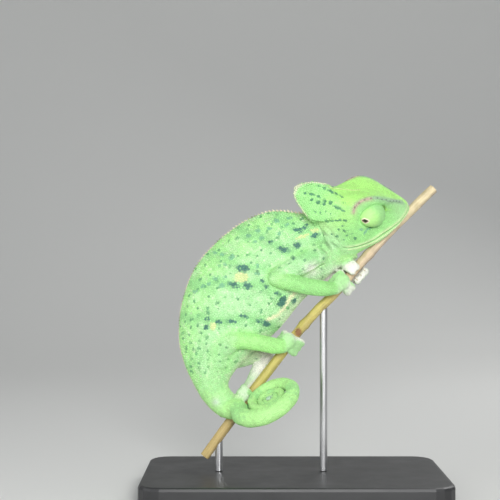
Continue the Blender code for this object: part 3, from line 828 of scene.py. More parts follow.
def line_gap(points, line):
    """Distance from points to a line through rows, and the share of the line's length passed."""
    line = np.array(line, dtype=float)
    best = np.full(len(points), 1e9)
    passed = np.zeros(len(points))
    steps = np.linalg.norm(np.diff(line, axis=0), axis=1)
    starts = np.concatenate([[0.0], np.cumsum(steps)])
    for i, step in enumerate(steps):
        way = (line[i + 1] - line[i]) / step
        t = np.clip((points - line[i]) @ way, 0.0, step)
        gap = np.linalg.norm(points - line[i] - t[:, None] * way, axis=1)
        closer = gap < best
        best[closer] = gap[closer]
        passed[closer] = (starts[i] + t[closer]) / starts[-1]
    return best, passed


def stem_gap(points):
    """Distance from the stem's axis."""
    return line_gap(points, stem_line[::5])[0]


def tapered(passed):
    """Full in the middle of a line, gone at both ends."""
    return soft(passed, 0.0, 0.2) * (1.0 - soft(passed, 0.8, 1.0))


def mouth_height(back):
    """Height of the mouth line at a distance back from the snout."""
    return np.interp(back, *MOUTH.T)


def coil_crease(points):
    """1 along the lines where two turns of the tail touch, and 0 away from them."""
    crease_and_shadow = np.zeros(len(points))
    chosen = np.flatnonzero(np.linalg.norm(points - COIL_CENTRE, axis=1) < COIL_RADIUS * 1.5)
    for part in np.array_split(chosen, len(chosen) // CREASE_CHUNK + 1):
        away = np.linalg.norm(points[part][:, None] - tail_line[None, :, :3], axis=2)
        away -= tail_line[None, :, 3]
        nearest = away.argmin(axis=1)
        at_first = away.min(axis=1)
        other = np.abs(tail_turn[None] - tail_turn[nearest][:, None]) > CREASE_TURNS
        second = np.where(other, away, 9.0)
        at_second = second.min(axis=1)
        inner = tail_turn[nearest] > tail_turn[second.argmin(axis=1)]
        size = np.clip(tail_line[nearest, 3] / 2.0, 0.3, 1.0) * np.where(inner, *CREASE_WIDE)
        close = (at_first < 1.2) * (1.0 - soft(at_second, 1.0, 1.8))
        crease_and_shadow[part] = fold(at_second - at_first, (1.0, 0.50 * size)) * close * np.minimum(size, 1.0)
    return crease_and_shadow


def fold_head(points, normals):
    """How far the folds of the head move each point along its normal."""
    hand = np.sign(to_head(points)[:, 2])
    place = to_head(points)
    place[:, 2] = np.abs(place[:, 2])
    back, up, side = place.T
    on_face = (back < 34.0) & (side > 0.6) & (normals @ RIGHT_WAY * hand > 0.1)
    gape = on_face * (back > 0.5) * (1.0 - soft(back, 31.5, 33.8))
    gap = up - mouth_height(back)
    lips = fold(gap - LIP_AWAY, LIP_OVER) + fold(gap + LIP_AWAY, LIP_UNDER)
    move = (lips - fold(gap, MOUTH_GROOVE)) * gape
    for line, size in ((smooth_rows(BROW, 40), BROW_RIDGE), (PARIETAL, CASQUE_RIDGE)):
        gap, passed = line_gap(place, line)
        move += fold(gap, size) * soft(passed, 0.0, 0.2)
    for line in NECK_FOLDS:
        gap, passed = line_gap(place, smooth_rows(line, 16))
        move += (fold(gap, NECK_RIDGE) - fold(gap - 1.5, NECK_GROOVE)) * tapered(passed)
    front = soft(unit(place[:, :2] - (EYE_BACK, EYE_UP)) @ FOLD_WAY, -0.1, 0.6)
    gap = np.linalg.norm(place - (EYE_BACK, EYE_UP, EYE_SIDE), axis=1) - EYE_RADIUS
    move -= fold(gap - 0.15, SOCKET_FOLD) * (gap < 3.0) * (0.1 + 0.9 * front)
    move += fold(gap - 0.7, SOCKET_RISE) * (gap < 5.0) * (1.0 - front)
    gap = np.linalg.norm(place - NOSTRIL, axis=1)
    return move + fold(gap - 0.9, NOSTRIL_RIM) - fold(gap, NOSTRIL_PIT)


def fold_skin(points, normals):
    """How far each point of the skin moves along its normal."""
    move = fold_head(points, normals) - CREASE_DEPTH * coil_crease(points)
    flat = points[:, [0, 2]]
    for line in FLANK_FOLDS:
        gap, passed = line_gap(flat, line)
        move += (fold(gap - 0.6, FLANK_RIDGE) - fold(gap, FLANK_GROOVE)) * tapered(passed)
    for line in ARMPIT_FOLDS:
        gap, passed = line_gap(flat, line)
        move -= fold(gap, ARMPIT_GROOVE) * tapered(passed)
    return move + 0.10 * ripple(points, 9.0, 3)


skin_normals = normal_array(skin.data)
move = fold_skin(skin_points, skin_normals)
skin_points = skin_points + skin_normals * move[:, None]
set_verts(skin.data, skin_points)
skin.data.shade_smooth()
skin_normals = normal_array(skin.data)
faces = [tuple(face.vertices) for face in skin.data.polygons]
skin_tree = BVHTree.FromPolygons([Vector(point) for point in skin_points], faces)
print("folds from", *np.round((move.min(), move.max()), 2), "mm")

# %% [markdown]
# ## Which part a point is on
#
# Paint and scales differ from part to part.  A point belongs to the part whose own surface it is nearest
# to, with soft borders, so that colours run into each other at the neck, the shoulders and the hips.


# %% Parts of the body
def tree_of(points):
    """A search tree of points."""
    tree = KDTree(len(points))
    for i, point in enumerate(points):
        tree.insert(Vector(point), i)
    tree.balance()
    return tree


TREES = {"trunk": tree_of(trunk.reshape(-1, 3)), "head": tree_of(head[::2].reshape(-1, 3))}
lobe_points = []
for hand in (1, -1):
    lobe = lobe_body(hand)
    lobe_points.append(vert_array(lobe.data))
    bpy.data.objects.remove(lobe, do_unlink=True)
TREES["lobe"] = tree_of(np.vstack(lobe_points))
LINES = {"tail": tail_line}
FOOT_RADIUS = 3.6
for name, (limb, grip_x, outer, inner) in LIMBS.items():
    line = smooth_rows(limb, 50)
    foot = np.linspace(line[-1], (*stem_place(grip_x)[0], FOOT_RADIUS), 8)[1:]
    foot[:, 3] = FOOT_RADIUS
    LINES[name] = np.vstack([line, foot])
PART_BLUR = 0.9                  # how softly one part runs into the next


def tube_gap(points, line):
    """Distance to a tube's surface and the share of its length passed."""
    gap = np.empty(len(points))
    passed = np.empty(len(points))
    for start in range(0, len(points), 8192):
        some = points[start:start + 8192]
        away = np.linalg.norm(some[:, None] - line[None, :, :3], axis=2) - line[None, :, 3]
        best = away.argmin(axis=1)
        gap[start:start + 8192] = np.abs(away[np.arange(len(some)), best])
        passed[start:start + 8192] = best / (len(line) - 1)
    return gap, passed


def body_map(points):
    """Soft share of each part at each point; how high on the trunk and how far along the others."""
    gaps = {}
    found = {}
    for name, tree in TREES.items():
        hits = [tree.find(Vector(point)) for point in points]
        gaps[name] = np.array([hit[2] for hit in hits])
        found[name] = np.array([hit[1] for hit in hits])
    for name, line in LINES.items():
        gaps[name], found[name] = tube_gap(points, line)
    names = list(gaps)
    raw = np.array([bump(gaps[name], PART_BLUR) + 1e-9 for name in names])
    share = dict(zip(names, raw / raw.sum(axis=0)))
    turn = (found["trunk"] % TRUNK_SIDES) / TRUNK_SIDES * 2 * math.pi
    return share, {"lift": np.cos(turn), **{name: found[name] for name in LINES}}


skin_share, skin_along = body_map(skin_points)
print("parts", {name: round(float(share.mean()), 2) for name, share in skin_share.items()})

# %% [markdown]
# ## Markings
#
# The flank has broken dark bands with blotches in them, yellow patches between, and small dark dots all
# over.  Each mark is an oval with a place, a half length, a half width and a tilt in degrees, seen from
# the side; both sides of the animal get the same marks.

# %% Marking tables
BLOTCHES = [
    (-21.4, 93.3, 2.9, 1.6, -8), (-25.1, 86.4, 2.8, 1.2, -22), (-19.6, 86.0, 2.0, 1.6, -30),
    (-13.4, 88.1, 0.9, 1.2, 60), (-11.7, 85.8, 1.0, 1.0, -40), (-7.1, 82.8, 1.2, 1.0, -30),
    (-5.0, 79.6, 2.7, 1.6, 60), (-0.2, 79.7, 1.3, 1.0, 60), (-21.2, 73.6, 1.9, 0.8, -12),
    (-26.1, 71.5, 2.4, 0.8, -5), (-31.4, 71.2, 1.5, 1.1, -10), (-36.2, 72.6, 1.1, 0.9, -10),
    (-36.6, 68.9, 1.3, 0.9, 15), (-14.4, 71.4, 1.9, 0.9, -5), (-11.7, 70.3, 2.0, 1.4, -25),
    (-4.8, 101.1, 3.0, 1.2, -18), (1.1, 102.7, 1.9, 1.4, 20), (-10.0, 103.8, 1.0, 1.0, 0),
    (-0.7, 97.5, 0.9, 0.9, -20), (0.5, 109.1, 1.3, 0.8, -20), (2.2, 108.8, 1.3, 1.3, 0),
    (4.1, 110.3, 1.7, 0.9, 50), (8.5, 106.9, 2.3, 1.0, 22),
]
GREY_MARKS = [
    (-1.9, 114.1, 1.6, 0.6, 10), (-7.6, 112.9, 1.5, 0.9, 0), (-3.2, 111.2, 1.0, 0.9, 0),
    (-10.6, 109.8, 1.3, 1.0, 0), (-15.3, 108.7, 1.3, 1.0, 0), (-6.4, 108.0, 1.2, 0.9, 20),
    (-19.1, 106.7, 1.2, 0.9, 0), (-13.5, 105.8, 1.0, 0.9, 0), (-16.4, 104.2, 0.8, 0.8, 0),
    (-29.9, 99.0, 1.0, 0.9, 0), (-26.0, 97.9, 1.2, 1.3, 80), (-33.1, 99.7, 1.0, 0.9, 0),
    (-31.3, 94.2, 1.0, 0.8, 10), (-28.8, 94.9, 0.8, 0.7, 0), (-32.8, 89.1, 1.2, 0.9, 10),
    (-28.5, 89.7, 0.8, 0.9, 70), (-35.4, 86.7, 0.9, 0.8, 10), (-30.1, 86.1, 1.3, 1.0, 15),
    (-37.9, 85.6, 1.3, 0.7, 15), (-41.1, 83.5, 1.3, 0.6, 15), (-15.3, 94.4, 0.9, 0.9, 0),
    (-15.5, 91.1, 0.9, 0.8, 0), (3.3, 113.8, 0.6, 0.9, 70),
]
YELLOW_MARKS = [(8.1, 109.0, 2.1, 0.9, 0), (3.2, 106.5, 3.1, 0.7, 22), (-22.0, 89.7, 3.1, 2.1, 0),
                (-33.8, 69.4, 1.5, 1.9, 0)]
STRIPE = [(0.1, 83.0), (-1.8, 81.2), (-3.4, 77.8), (-6.8, 74.0), (-11.1, 72.0)]
# each dark band: its line and how dark it is
BANDS = [
    ([(-8.0, 116.5), (-5.1, 112.9), (1.2, 109.5), (8.3, 106.9), (11.6, 102.7)], 1.0),
    ([(-24.0, 111.0), (-19.5, 107.4), (-13.6, 106.1), (-4.8, 101.1), (1.1, 100.2), (7.2, 98.5)], 1.0),
    ([(-37.0, 99.0), (-29.6, 98.5), (-21.6, 93.5), (-15.3, 93.9), (-9.5, 91.9)], 0.8),
    ([(-44.0, 87.0), (-37.6, 85.9), (-30.4, 87.6), (-24.5, 86.4), (-19.1, 86.0),
      (-12.4, 86.4), (-6.9, 83.0), (-3.9, 79.1)], 1.0),
    ([(-47.8, 72.8), (-41.9, 72.3), (-36.3, 72.5), (-31.2, 71.7), (-25.8, 72.1), (-20.7, 73.4),
      (-12.8, 71.2), (-7.6, 67.4)], 1.0),
    ([(-44.2, 51.8), (-41.5, 54.7), (-36.8, 57.9), (-31.6, 59.6)], 0.5),
]
HEAD_MARKS = [
    (6.5, 123.4, 1.4, 0.5, -10), (9.4, 122.5, 0.9, 0.6, -25), (3.9, 123.9, 0.8, 0.4, -5),
    (6.5, 121.0, 0.8, 0.6, -20), (9.1, 120.2, 1.0, 0.7, -15), (11.7, 120.7, 0.8, 0.8, 0),
    (11.6, 119.4, 0.8, 0.7, 0), (14.2, 120.0, 0.8, 1.0, 80), (16.5, 118.2, 1.4, 0.6, -30),
    (18.3, 117.6, 0.7, 0.5, -30), (19.6, 116.7, 0.8, 0.4, -10),
    (11.7, 125.9, 1.0, 0.5, -10), (9.5, 126.7, 0.8, 0.4, -5), (14.5, 124.6, 1.5, 0.4, -18),
    (16.8, 123.7, 1.1, 0.4, -30), (18.9, 122.6, 1.3, 0.4, -40),
    (12.8, 112.6, 1.1, 0.5, -25), (14.6, 112.6, 0.9, 0.3, 5), (16.8, 112.8, 1.1, 0.4, 5),
    (18.2, 113.0, 0.9, 0.5, 0), (20.5, 112.8, 1.1, 0.4, -5), (7.6, 116.6, 0.8, 0.3, -35),
    (10.3, 115.7, 0.7, 0.3, -50),
    (12.4, 116.3, 0.4, 0.4, 0), (14.4, 115.6, 0.4, 0.4, 0), (19.8, 120.0, 0.7, 0.3, -10),
    (17.8, 109.1, 0.5, 0.6, 60), (20.1, 108.7, 0.8, 0.5, -10), (15.0, 107.3, 0.7, 0.3, -35),
    (17.3, 106.4, 0.6, 0.4, -10), (20.0, 105.2, 0.5, 0.3, 10), (23.3, 107.4, 0.7, 0.3, 35),
    (24.7, 105.7, 0.8, 0.7, 10), (21.9, 108.7, 0.4, 0.3, 0), (19.4, 110.7, 0.7, 0.3, 0),
    (21.4, 106.7, 0.5, 0.3, 40), (10.8, 102.2, 0.7, 0.4, -10), (12.8, 97.9, 0.5, 0.5, 0),
]
BLUE_MARKS = [(27.2, 109.2, 0.9, 0.6, 0), (29.0, 108.2, 1.0, 0.6, 50), (30.4, 109.6, 1.4, 0.5, 20)]
DOT_STEP = 4.3
DOT_STEP_LOW = 3.1
LOW_BACK = (-35.0, 75.0)         # x and z below which the dots lie closer
DOT_BOX = ((-49.0, 13.0), (50.0, 118.0))
DOT_CLEAR = 0.9                  # distance kept from the larger marks


def dot_marks():
    """Small dots on a loose lattice, closer on the low back, kept off the larger marks."""
    dice = np.random.default_rng(7)
    taken = BLOTCHES + YELLOW_MARKS
    (left, right), (bottom, top) = DOT_BOX
    marks = []
    for step, low in ((DOT_STEP, False), (DOT_STEP_LOW, True)):
        for i, x in enumerate(np.arange(left, right, step)):
            for z in np.arange(bottom, top, step):
                spot = np.array((x, z + 0.5 * step * (i % 2))) + dice.uniform(-0.3, 0.3, 2) * step
                size = dice.uniform(0.5, 0.78)
                if (spot[0] < LOW_BACK[0] and spot[1] < LOW_BACK[1]) != low:
                    continue
                clear = min(math.hypot(spot[0] - mark[0], spot[1] - mark[1]) - mark[2] for mark in taken)
                if clear > DOT_CLEAR:
                    marks.append((*spot, size, size * dice.uniform(0.7, 1.0), dice.uniform(-40, 40)))
    return marks


DOTS = dot_marks()
print("dots", len(DOTS))

# %% [markdown]
# ## Palette
#
# The colours are given as on a paint card, 0 to 255, and turned into linear light.  They are a shade
# darker than the card because the soft studio light lifts them again.

# %% Palette
PAINT_LEVEL = 0.86
CARD = {
    "flank": (190, 244, 178), "back": (184, 247, 158), "belly": (222, 248, 202),
    "band": (158, 224, 148), "blotch": (70, 124, 112), "grey": (126, 188, 148), "dot": (92, 158, 108),
    "yellow": (226, 238, 168), "stripe": (250, 253, 206), "white": (255, 255, 244),
    "crown": (186, 250, 136), "cheek": (168, 234, 148), "jaw": (178, 240, 156), "lip": (226, 249, 192),
    "throat": (190, 246, 144), "brow": (206, 196, 168), "brow_green": (158, 188, 158),
    "snout": (184, 238, 166), "lobe": (172, 240, 152), "lobe_edge": (236, 246, 206),
    "head_mark": (82, 146, 108), "blue": (126, 186, 160), "neck": (204, 248, 192),
    "arm": (172, 238, 150), "leg": (184, 250, 154), "thigh": (188, 251, 154), "foot": (196, 248, 178),
    "tail": (194, 251, 162), "coil": (194, 248, 160), "tip": (206, 236, 214), "scar": (236, 236, 240),
    "crease_and_shadow": (58, 108, 64), "crest_pale": (240, 236, 200), "crest_pink": (214, 178, 150),
    # the first colour on the next line is the painted shadow between the turns of the tail
    "crest_dark": (122, 150, 104), "crest_under": (246, 249, 226), "bead_brow": (206, 184, 170),
    "bead_casque": (214, 240, 160), "bead_over": (214, 243, 178), "bead_under": (222, 246, 186),
    "bead_lobe": (240, 240, 206), "lid": (190, 248, 152), "lid_edge": (166, 226, 148),
    "lid_ray": (150, 214, 132), "rim": (246, 242, 208), "rim_line": (84, 62, 50),
    "claw": (238, 240, 214), "claw_tip": (206, 190, 158), "bark_low": (200, 176, 116),
    "bark": (204, 190, 106), "bark_high": (222, 200, 166), "bark_top": (232, 214, 172),
    "bark_under": (150, 132, 128), "bark_patch": (176, 160, 110), "bark_scar": (128, 70, 48),
    "wood": (236, 226, 186), "pith": (196, 168, 116),
}


def linear(card):
    """A paint card colour in linear light."""
    values = np.array(card, dtype=float) / 255.0
    return np.where(values <= 0.04045, values / 12.92, ((values + 0.055) / 1.055) ** 2.4)


INK = {name: linear(card) * PAINT_LEVEL for name, card in CARD.items()}


def mix(one, two, share):
    """Colours between one and two by each point's share."""
    return one + (two - one) * np.clip(share, 0.0, 1.0)[:, None]


def stains(flat, marks, seed, fray=0.16):
    """How deep inside any of the oval marks each point lies; the edges are frayed."""
    cover = np.zeros(len(flat))
    rough = fray * ripple(np.column_stack([flat, flat[:, :1]]), 1.7, seed)
    for x, z, long, wide, tilt in marks:
        near_it = np.flatnonzero(np.abs(flat - (x, z)).max(axis=1) < 1.4 * max(long, wide))
        away = flat[near_it] - (x, z)
        turn = math.radians(tilt)
        u = away[:, 0] * math.cos(turn) + away[:, 1] * math.sin(turn)
        v = away[:, 1] * math.cos(turn) - away[:, 0] * math.sin(turn)
        reach = np.hypot(u / long, v / wide) + rough[near_it]
        cover[near_it] = np.maximum(cover[near_it], 1.0 - soft(reach, 0.74, 1.12))
    return cover

print("colours", len(INK))

# %% [markdown]
# ## Paint by part
#
# Each part has its own rule for colour.  The rules are mixed by the soft shares of the parts, so no border
# shows, and painted shade is laid into the folds last.


# %% Paint
def paint_trunk(points, normals, along):
    """Green flank with bands, blotches and dots, paler below."""
    flat = points[:, [0, 2]]
    side = soft(np.abs(normals[:, 1]), 0.12, 0.45)
    colour = mix(INK["flank"], INK["back"], soft(along["lift"], 0.1, 0.9))
    colour = mix(colour, INK["belly"], soft(-along["lift"], 0.72, 0.98))
    colour = mix(colour, INK["neck"], 0.45 * soft(ripple(points * (0.4, 1.0, 1.0), 7.0, 5), 0.2, 1.0))
    mottle = ripple(points, 2.3, 7) + 0.6 * ripple(points, 1.2, 8)
    colour = mix(colour, INK["band"], 0.55 * soft(mottle, 0.25, 1.3))
    colour = mix(colour, INK["belly"], 0.6 * soft(-mottle, 0.25, 1.3))
    wave = 0.7 * ripple(points, 4.5, 6)
    for line, weight in BANDS:
        gap, passed = line_gap(flat, line)
        colour = mix(colour, INK["band"], 0.9 * weight * bump(gap + wave, 2.6) * side)
    colour = mix(colour, INK["yellow"], 0.9 * stains(flat, YELLOW_MARKS, 11) * side)
    gap, passed = line_gap(flat, STRIPE)
    colour = mix(colour, INK["stripe"], bump(gap + 0.3 * wave, 0.85) * side)
    colour = mix(colour, INK["grey"], 0.85 * stains(flat, GREY_MARKS, 12, 0.2) * side)
    colour = mix(colour, INK["dot"], 0.82 * stains(flat, DOTS, 13, 0.22) * side)
    colour = mix(colour, INK["blotch"], 0.95 * stains(flat, BLOTCHES, 14) * side)
    pit = bump(np.linalg.norm(flat - (7.1, 92.6), axis=1), 3.0) * soft(-normals[:, 2] + 0.4, 0.0, 0.5)
    chest = bump(np.linalg.norm((flat - (19.0, 91.5)) * (0.7, 1.0), axis=1), 3.2)
    return mix(mix(colour, INK["white"], pit), INK["white"], 0.9 * chest)


print("dark bands", len(BANDS), "marks", len(BLOTCHES) + len(GREY_MARKS) + len(YELLOW_MARKS))

# %% [markdown]
# ## Paint of the head
#
# The crown, the brow, the lips and the jaw have borders that follow the ridges of the head, so their
# colours are worked out in the head's own frame.  The right side is painted and the left side copies it.


# %% Paint of the head and lobes
def mirrored(points):
    """Points on the head's left side moved to the same place on its right side."""
    place = to_head(points)
    place[:, 2] = np.abs(place[:, 2])
    return place, (SNOUT + place @ HEAD_AXES)[:, [0, 2]]


CASQUE_BACK = (24.0, 29.0, 34.0, 40.0)
CASQUE_UP = (15.5, 17.5, 20.0, 22.0)


def paint_head(points):
    """Cheek, jaw, lips, crown and brow, each by its place in the head's frame."""
    place, flat = mirrored(points)
    back, up, side = place.T
    inside = np.interp(back, BROW[:, 0], BROW[:, 2]) - side
    inside = np.where(up > 0.5 * np.interp(back, BROW[:, 0], BROW[:, 1]), inside, -2.0)
    over = np.where(back > 24.0, up - np.interp(back, CASQUE_BACK, CASQUE_UP), inside)
    gap = up - mouth_height(back)
    colour = mix(INK["cheek"], INK["neck"], soft(back, 29.0, 37.0) * 0.8)
    colour = mix(colour, INK["throat"], 0.55 * soft(up, 5.0, 12.0) * soft(back, 21.0, 27.0))
    colour = mix(colour, INK["snout"], 1.0 - soft(back, 4.0, 11.0))
    colour = mix(colour, INK["jaw"], soft(-gap, -0.1, 0.4))
    lips = (bump(gap - 1.0, 0.5) + bump(gap + 1.2, 0.6)) * (1 - soft(back, 30, 34))
    colour = mix(colour, INK["lip"], 0.8 * lips)
    colour = mix(colour, INK["throat"], soft(-gap, 3.0, 6.0))
    colour = mix(colour, INK["crown"], soft(over, 0.2, 1.4))
    away, passed = line_gap(place, smooth_rows(BROW, 40))
    tan = soft(back, 13.5, 16.5)
    brow = bump(away, 1.1)
    colour = mix(colour, INK["brow_green"], 0.8 * brow * (1.0 - tan))
    colour = mix(colour, INK["brow"], 0.9 * brow * tan)
    colour = mix(colour, INK["blue"], 0.7 * stains(flat, BLUE_MARKS, 15))
    return mix(colour, INK["head_mark"], 0.9 * stains(flat, HEAD_MARKS, 16, 0.2))


def paint_lobe(points):
    """Green with a pale free edge."""
    place, flat = mirrored(points)
    drop = np.where(to_head(points)[:, 2] < 0.0, LOBE_DROP, 0.0)
    back, up = place[:, 0] - LOBE_BACK + 0.5 * drop, place[:, 1] - LOBE_UP + drop
    long = (back * math.cos(LOBE_TURN) + up * math.sin(LOBE_TURN)) / LOBE_HALF_LENGTH
    high = (up * math.cos(LOBE_TURN) - back * math.sin(LOBE_TURN)) / LOBE_HALF_HEIGHT
    edge = soft(np.hypot(long, high), 0.90, 1.0) * soft(long, -0.1, 0.4)
    colour = mix(INK["lobe"], INK["lobe_edge"], edge)
    return mix(colour, INK["head_mark"], 0.95 * stains(flat, HEAD_MARKS, 16, 0.2))


print("marks on the head", len(HEAD_MARKS) + len(BLUE_MARKS))

# %% [markdown]
# ## Paint of the limbs and the tail
#
# A limb is green outside and nearly white inside and under the toes, where the sun never falls.  The tail
# has faint dark rings, which break up its outline among twigs when it is wound up.


# %% Paint of the limbs and tail
# the way that the pale inner side of each near foot faces
PALE_WAY = {"arm_right": (0.55, 0.0, -0.83), "leg_right": (0.45, 0.0, 0.89)}


def paint_limb(name, points, normals, along):
    """Green outside, nearly white inside and under the toes."""
    hand = 1 if name.endswith("right") else -1
    outward = -hand * normals[:, 1]
    passed = along[name]
    colour = mix(INK["thigh"], INK[name[:3]], soft(passed, 0.25, 0.45))
    colour = mix(colour, INK["foot"], soft(passed, 0.80, 0.92))
    inner = mix(INK["white"], INK["foot"], 0.5 * (name == "leg_left") * soft(passed, 0.7, 0.9))
    colour = mix(inner, colour, soft(outward, -0.45, 0.10))
    sole = (1.0 - soft(stem_gap(points), STEM_RADIUS + 1.3, STEM_RADIUS + 2.5)) * soft(passed, 0.78, 0.9)
    colour = mix(colour, INK["white"], 0.9 * sole)
    if name in PALE_WAY:
        pale = soft(normals @ PALE_WAY[name], 0.1, 0.7) * soft(passed, 0.86, 0.97)
        colour = mix(colour, INK["white"], 0.85 * pale)
    rosette = ripple(points, 3.1, 21)
    return mix(colour, INK["band"], 0.5 * soft(rosette, 0.9, 1.5) * (1.0 - soft(passed, 0.7, 0.85)))


TAIL_RINGS = 70.0                # turns of the wave that darkens the tail in rings
TAIL_SCAR = (-32.5, 37.8)
JOINT_KNOBS = ((-9.7, 89.0), (-25.4, 64.4))   # the pale elbow and knee


def paint_tail(points, normals, along):
    """Green with faint rings, paler to the tip, with one white scar."""
    passed = along["tail"]
    colour = mix(INK["tail"], INK["coil"], soft(passed, 0.12, 0.3))
    wave = np.sin(passed * TAIL_RINGS + 0.6 * ripple(points, 3.0, 22))
    colour = mix(colour, INK["band"], 0.55 * soft(wave, 0.4, 1.0))
    colour = mix(colour, INK["tip"], 0.85 * soft(passed, 0.80, 0.95))
    scar = bump(np.linalg.norm(points[:, [0, 2]] - TAIL_SCAR, axis=1), 1.6)
    return mix(colour, INK["scar"], 0.8 * scar * soft(-normals[:, 1], 0.1, 0.5))


print("limbs to paint", *LIMBS)

# %% [markdown]
# ## The whole coat
#
# The colours of all parts are added by their soft shares.  Then painted shade darkens the folds, a painted
# shadow line fills the groove between the turns of the tail, and two slow waves of tone keep any area from
# looking flat.


# %% Coat
def paint(points, normals, share, along):
    """Linear colour of the coat at points of the skin."""
    colour = paint_trunk(points, normals, along) * share["trunk"][:, None]
    colour += paint_head(points) * share["head"][:, None]
    colour += paint_lobe(points) * share["lobe"][:, None]
    colour += paint_tail(points, normals, along) * share["tail"][:, None]
    for name in LIMBS:
        colour += paint_limb(name, points, normals, along) * share[name][:, None]
    for name in LIMBS:
        upper = share[name] * (1.0 - soft(along[name], 0.20, 0.42)) * soft(np.abs(normals[:, 1]), 0.1, 0.5)
        colour = mix(colour, paint_trunk(points, normals, along), upper)
    flat = points[:, [0, 2]]
    for spot in JOINT_KNOBS:
        knob = bump(np.linalg.norm(flat - spot, axis=1), 1.5) * soft(-normals[:, 1], 0.0, 0.5)
        colour = mix(colour, INK["foot"], 0.7 * knob)
    # painted shade: the skin is darkened where the folds push it in
    shade = soft(-fold_skin(points, normals), 0.06, 0.5)
    colour = colour * (1.0 - 0.45 * shade[:, None])
    # painted shadow: a dark line where two turns of the tail touch, wider on the inner turn so that it
    # shows past the outer one
    colour = mix(colour, INK["crease_and_shadow"], 0.85 * soft(coil_crease(points), 0.12, 0.6))
    return colour * (1.0 + 0.035 * ripple(points, 6.0, 23) + 0.03 * ripple(points, 1.4, 24))[:, None]


def store_colour(mesh, colour):
    """Keep linear colours on the vertices as the attribute the materials read."""
    layer = mesh.color_attributes.new("markings", "FLOAT_COLOR", "POINT")
    flat = np.ones((len(colour), 4), dtype=np.float32)
    flat[:, :3] = np.clip(colour, 0.0, 1.0)
    layer.data.foreach_set("color", flat.ravel())


skin_colour = paint(skin_points, skin_normals, skin_share, skin_along)
store_colour(skin.data, skin_colour * 0.9)
print("mean skin colour", np.round(skin_colour.mean(axis=0), 2))

# %% [markdown]
# ## Scatter the scales
#
# A chameleon has no overlapping scales: it is covered in small grains that touch.  Poisson-disc points give
# that even but irregular spacing.  A geometry-node tree spreads them, one zone at a time with its own
# spacing: finest on the lips, round the eyes and on the toes, coarser on the flank and the lobes.


# %% Scatter points
ZONES = {"face": 0.47, "head": 0.60, "limb": 0.60, "tail": 0.56, "trunk": 0.76, "lobe": 0.78}
MOUTH_CLEAR = 0.25               # grains keep this far from the mouth line


def zone_of(points, share, along):
    """Name of the zone at each point."""
    place, flat = mirrored(points)
    limb = sum(share[name] for name in LIMBS)
    stack = np.array([share["trunk"], share["head"], share["lobe"], share["tail"], limb])
    zone = np.array(["trunk", "head", "lobe", "tail", "limb"])[stack.argmax(axis=0)]
    gap = np.abs(place[:, 1] - mouth_height(place[:, 0]))
    lips = (gap < 2.0) & (place[:, 0] < 33.0)
    eyes = np.min([np.linalg.norm(points - eye_centre(hand), axis=1) for name, hand in HANDS], axis=0)
    face = (zone == "head") & (lips | (eyes < EYE_RADIUS + 1.8) | (place[:, 0] < 5.0))
    toes = (zone == "limb") & (np.max([along[name] * share[name] for name in LIMBS], axis=0) > 0.84)
    zone[face | toes] = "face"
    return zone


def scatter(zone, gap, seed):
    """Even random points, at least gap apart, on the skin's triangles of one zone."""
    tree = bpy.data.node_groups.new("scatter", "GeometryNodeTree")
    tree.interface.new_socket("Geometry", in_out="INPUT", socket_type="NodeSocketGeometry")
    tree.interface.new_socket("Geometry", in_out="OUTPUT", socket_type="NodeSocketGeometry")
    start = tree.nodes.new("NodeGroupInput")
    end = tree.nodes.new("NodeGroupOutput")
    where = tree.nodes.new("GeometryNodeInputNamedAttribute")
    where.data_type = "FLOAT"
    where.inputs["Name"].default_value = "zone_" + zone
    spread = tree.nodes.new("GeometryNodeDistributePointsOnFaces")
    spread.distribute_method = "POISSON"
    spread.inputs["Distance Min"].default_value = gap * MM
    spread.inputs["Density Max"].default_value = 2.6 / (gap * MM) ** 2
    spread.inputs["Seed"].default_value = seed
    to_verts = tree.nodes.new("GeometryNodePointsToVertices")
    tree.links.new(start.outputs[0], spread.inputs["Mesh"])
    tree.links.new(where.outputs["Attribute"], spread.inputs["Density Factor"])
    tree.links.new(spread.outputs["Points"], to_verts.inputs[0])
    tree.links.new(to_verts.outputs[0], end.inputs[0])
    copy = skin.copy()
    bpy.context.collection.objects.link(copy)
    nodes = copy.modifiers.new("scatter", "NODES")
    nodes.node_group = tree
    graph = bpy.context.evaluated_depsgraph_get()
    mesh = bpy.data.meshes.new_from_object(copy.evaluated_get(graph))
    points = vert_array(mesh)
    bpy.data.objects.remove(copy, do_unlink=True)
    bpy.data.meshes.remove(mesh)
    bpy.data.node_groups.remove(tree)
    return points


def near_points(points, count):
    """Indices and distances of each point's nearest neighbours."""
    tree = tree_of(points)
    hits = [tree.find_n(Vector(point), count + 1)[1:] for point in points]
    index = np.array([[hit[1] for hit in row] for row in hits])
    away = np.array([[hit[2] for hit in row] for row in hits])
    return index, away


def on_skin(points):
    """The nearest places on the skin and the skin's smooth normals there."""
    hits = [skin_tree.find_nearest(Vector(point)) for point in points]
    places = np.array([hit[0] for hit in hits])
    corners = skin_faces[np.array([hit[2] for hit in hits])]
    weights = 1.0 / (np.linalg.norm(skin_points[corners] - places[:, None], axis=2) + 0.02)
    return places, unit((skin_normals[corners] * weights[:, :, None]).sum(axis=1))


skin_faces = np.array([face[:3] for face in faces])
skin_zone = zone_of(skin_points, skin_share, skin_along)
found = []
for order, (zone, gap) in enumerate(ZONES.items()):
    layer = skin.data.attributes.new("zone_" + zone, "FLOAT", "POINT")
    layer.data.foreach_set("value", (skin_zone == zone).astype(np.float32))
    found.append(scatter(zone, gap * (1.0), 31 + order))
for zone in ZONES:
    skin.data.attributes.remove(skin.data.attributes["zone_" + zone])
roots = np.vstack(found)
print("scattered", {zone: len(points) for zone, points in zip(ZONES, found)})

# %% [markdown]
# ## Settle the points
#
# Points too close to a neighbour push each other apart and slide back onto the skin, as grains would pack.
# Points under the eye turrets, inside the mouth line and against the stem are dropped.

# %% Settle
SETTLE_ROUNDS = 2
SETTLE_PUSH = 0.32


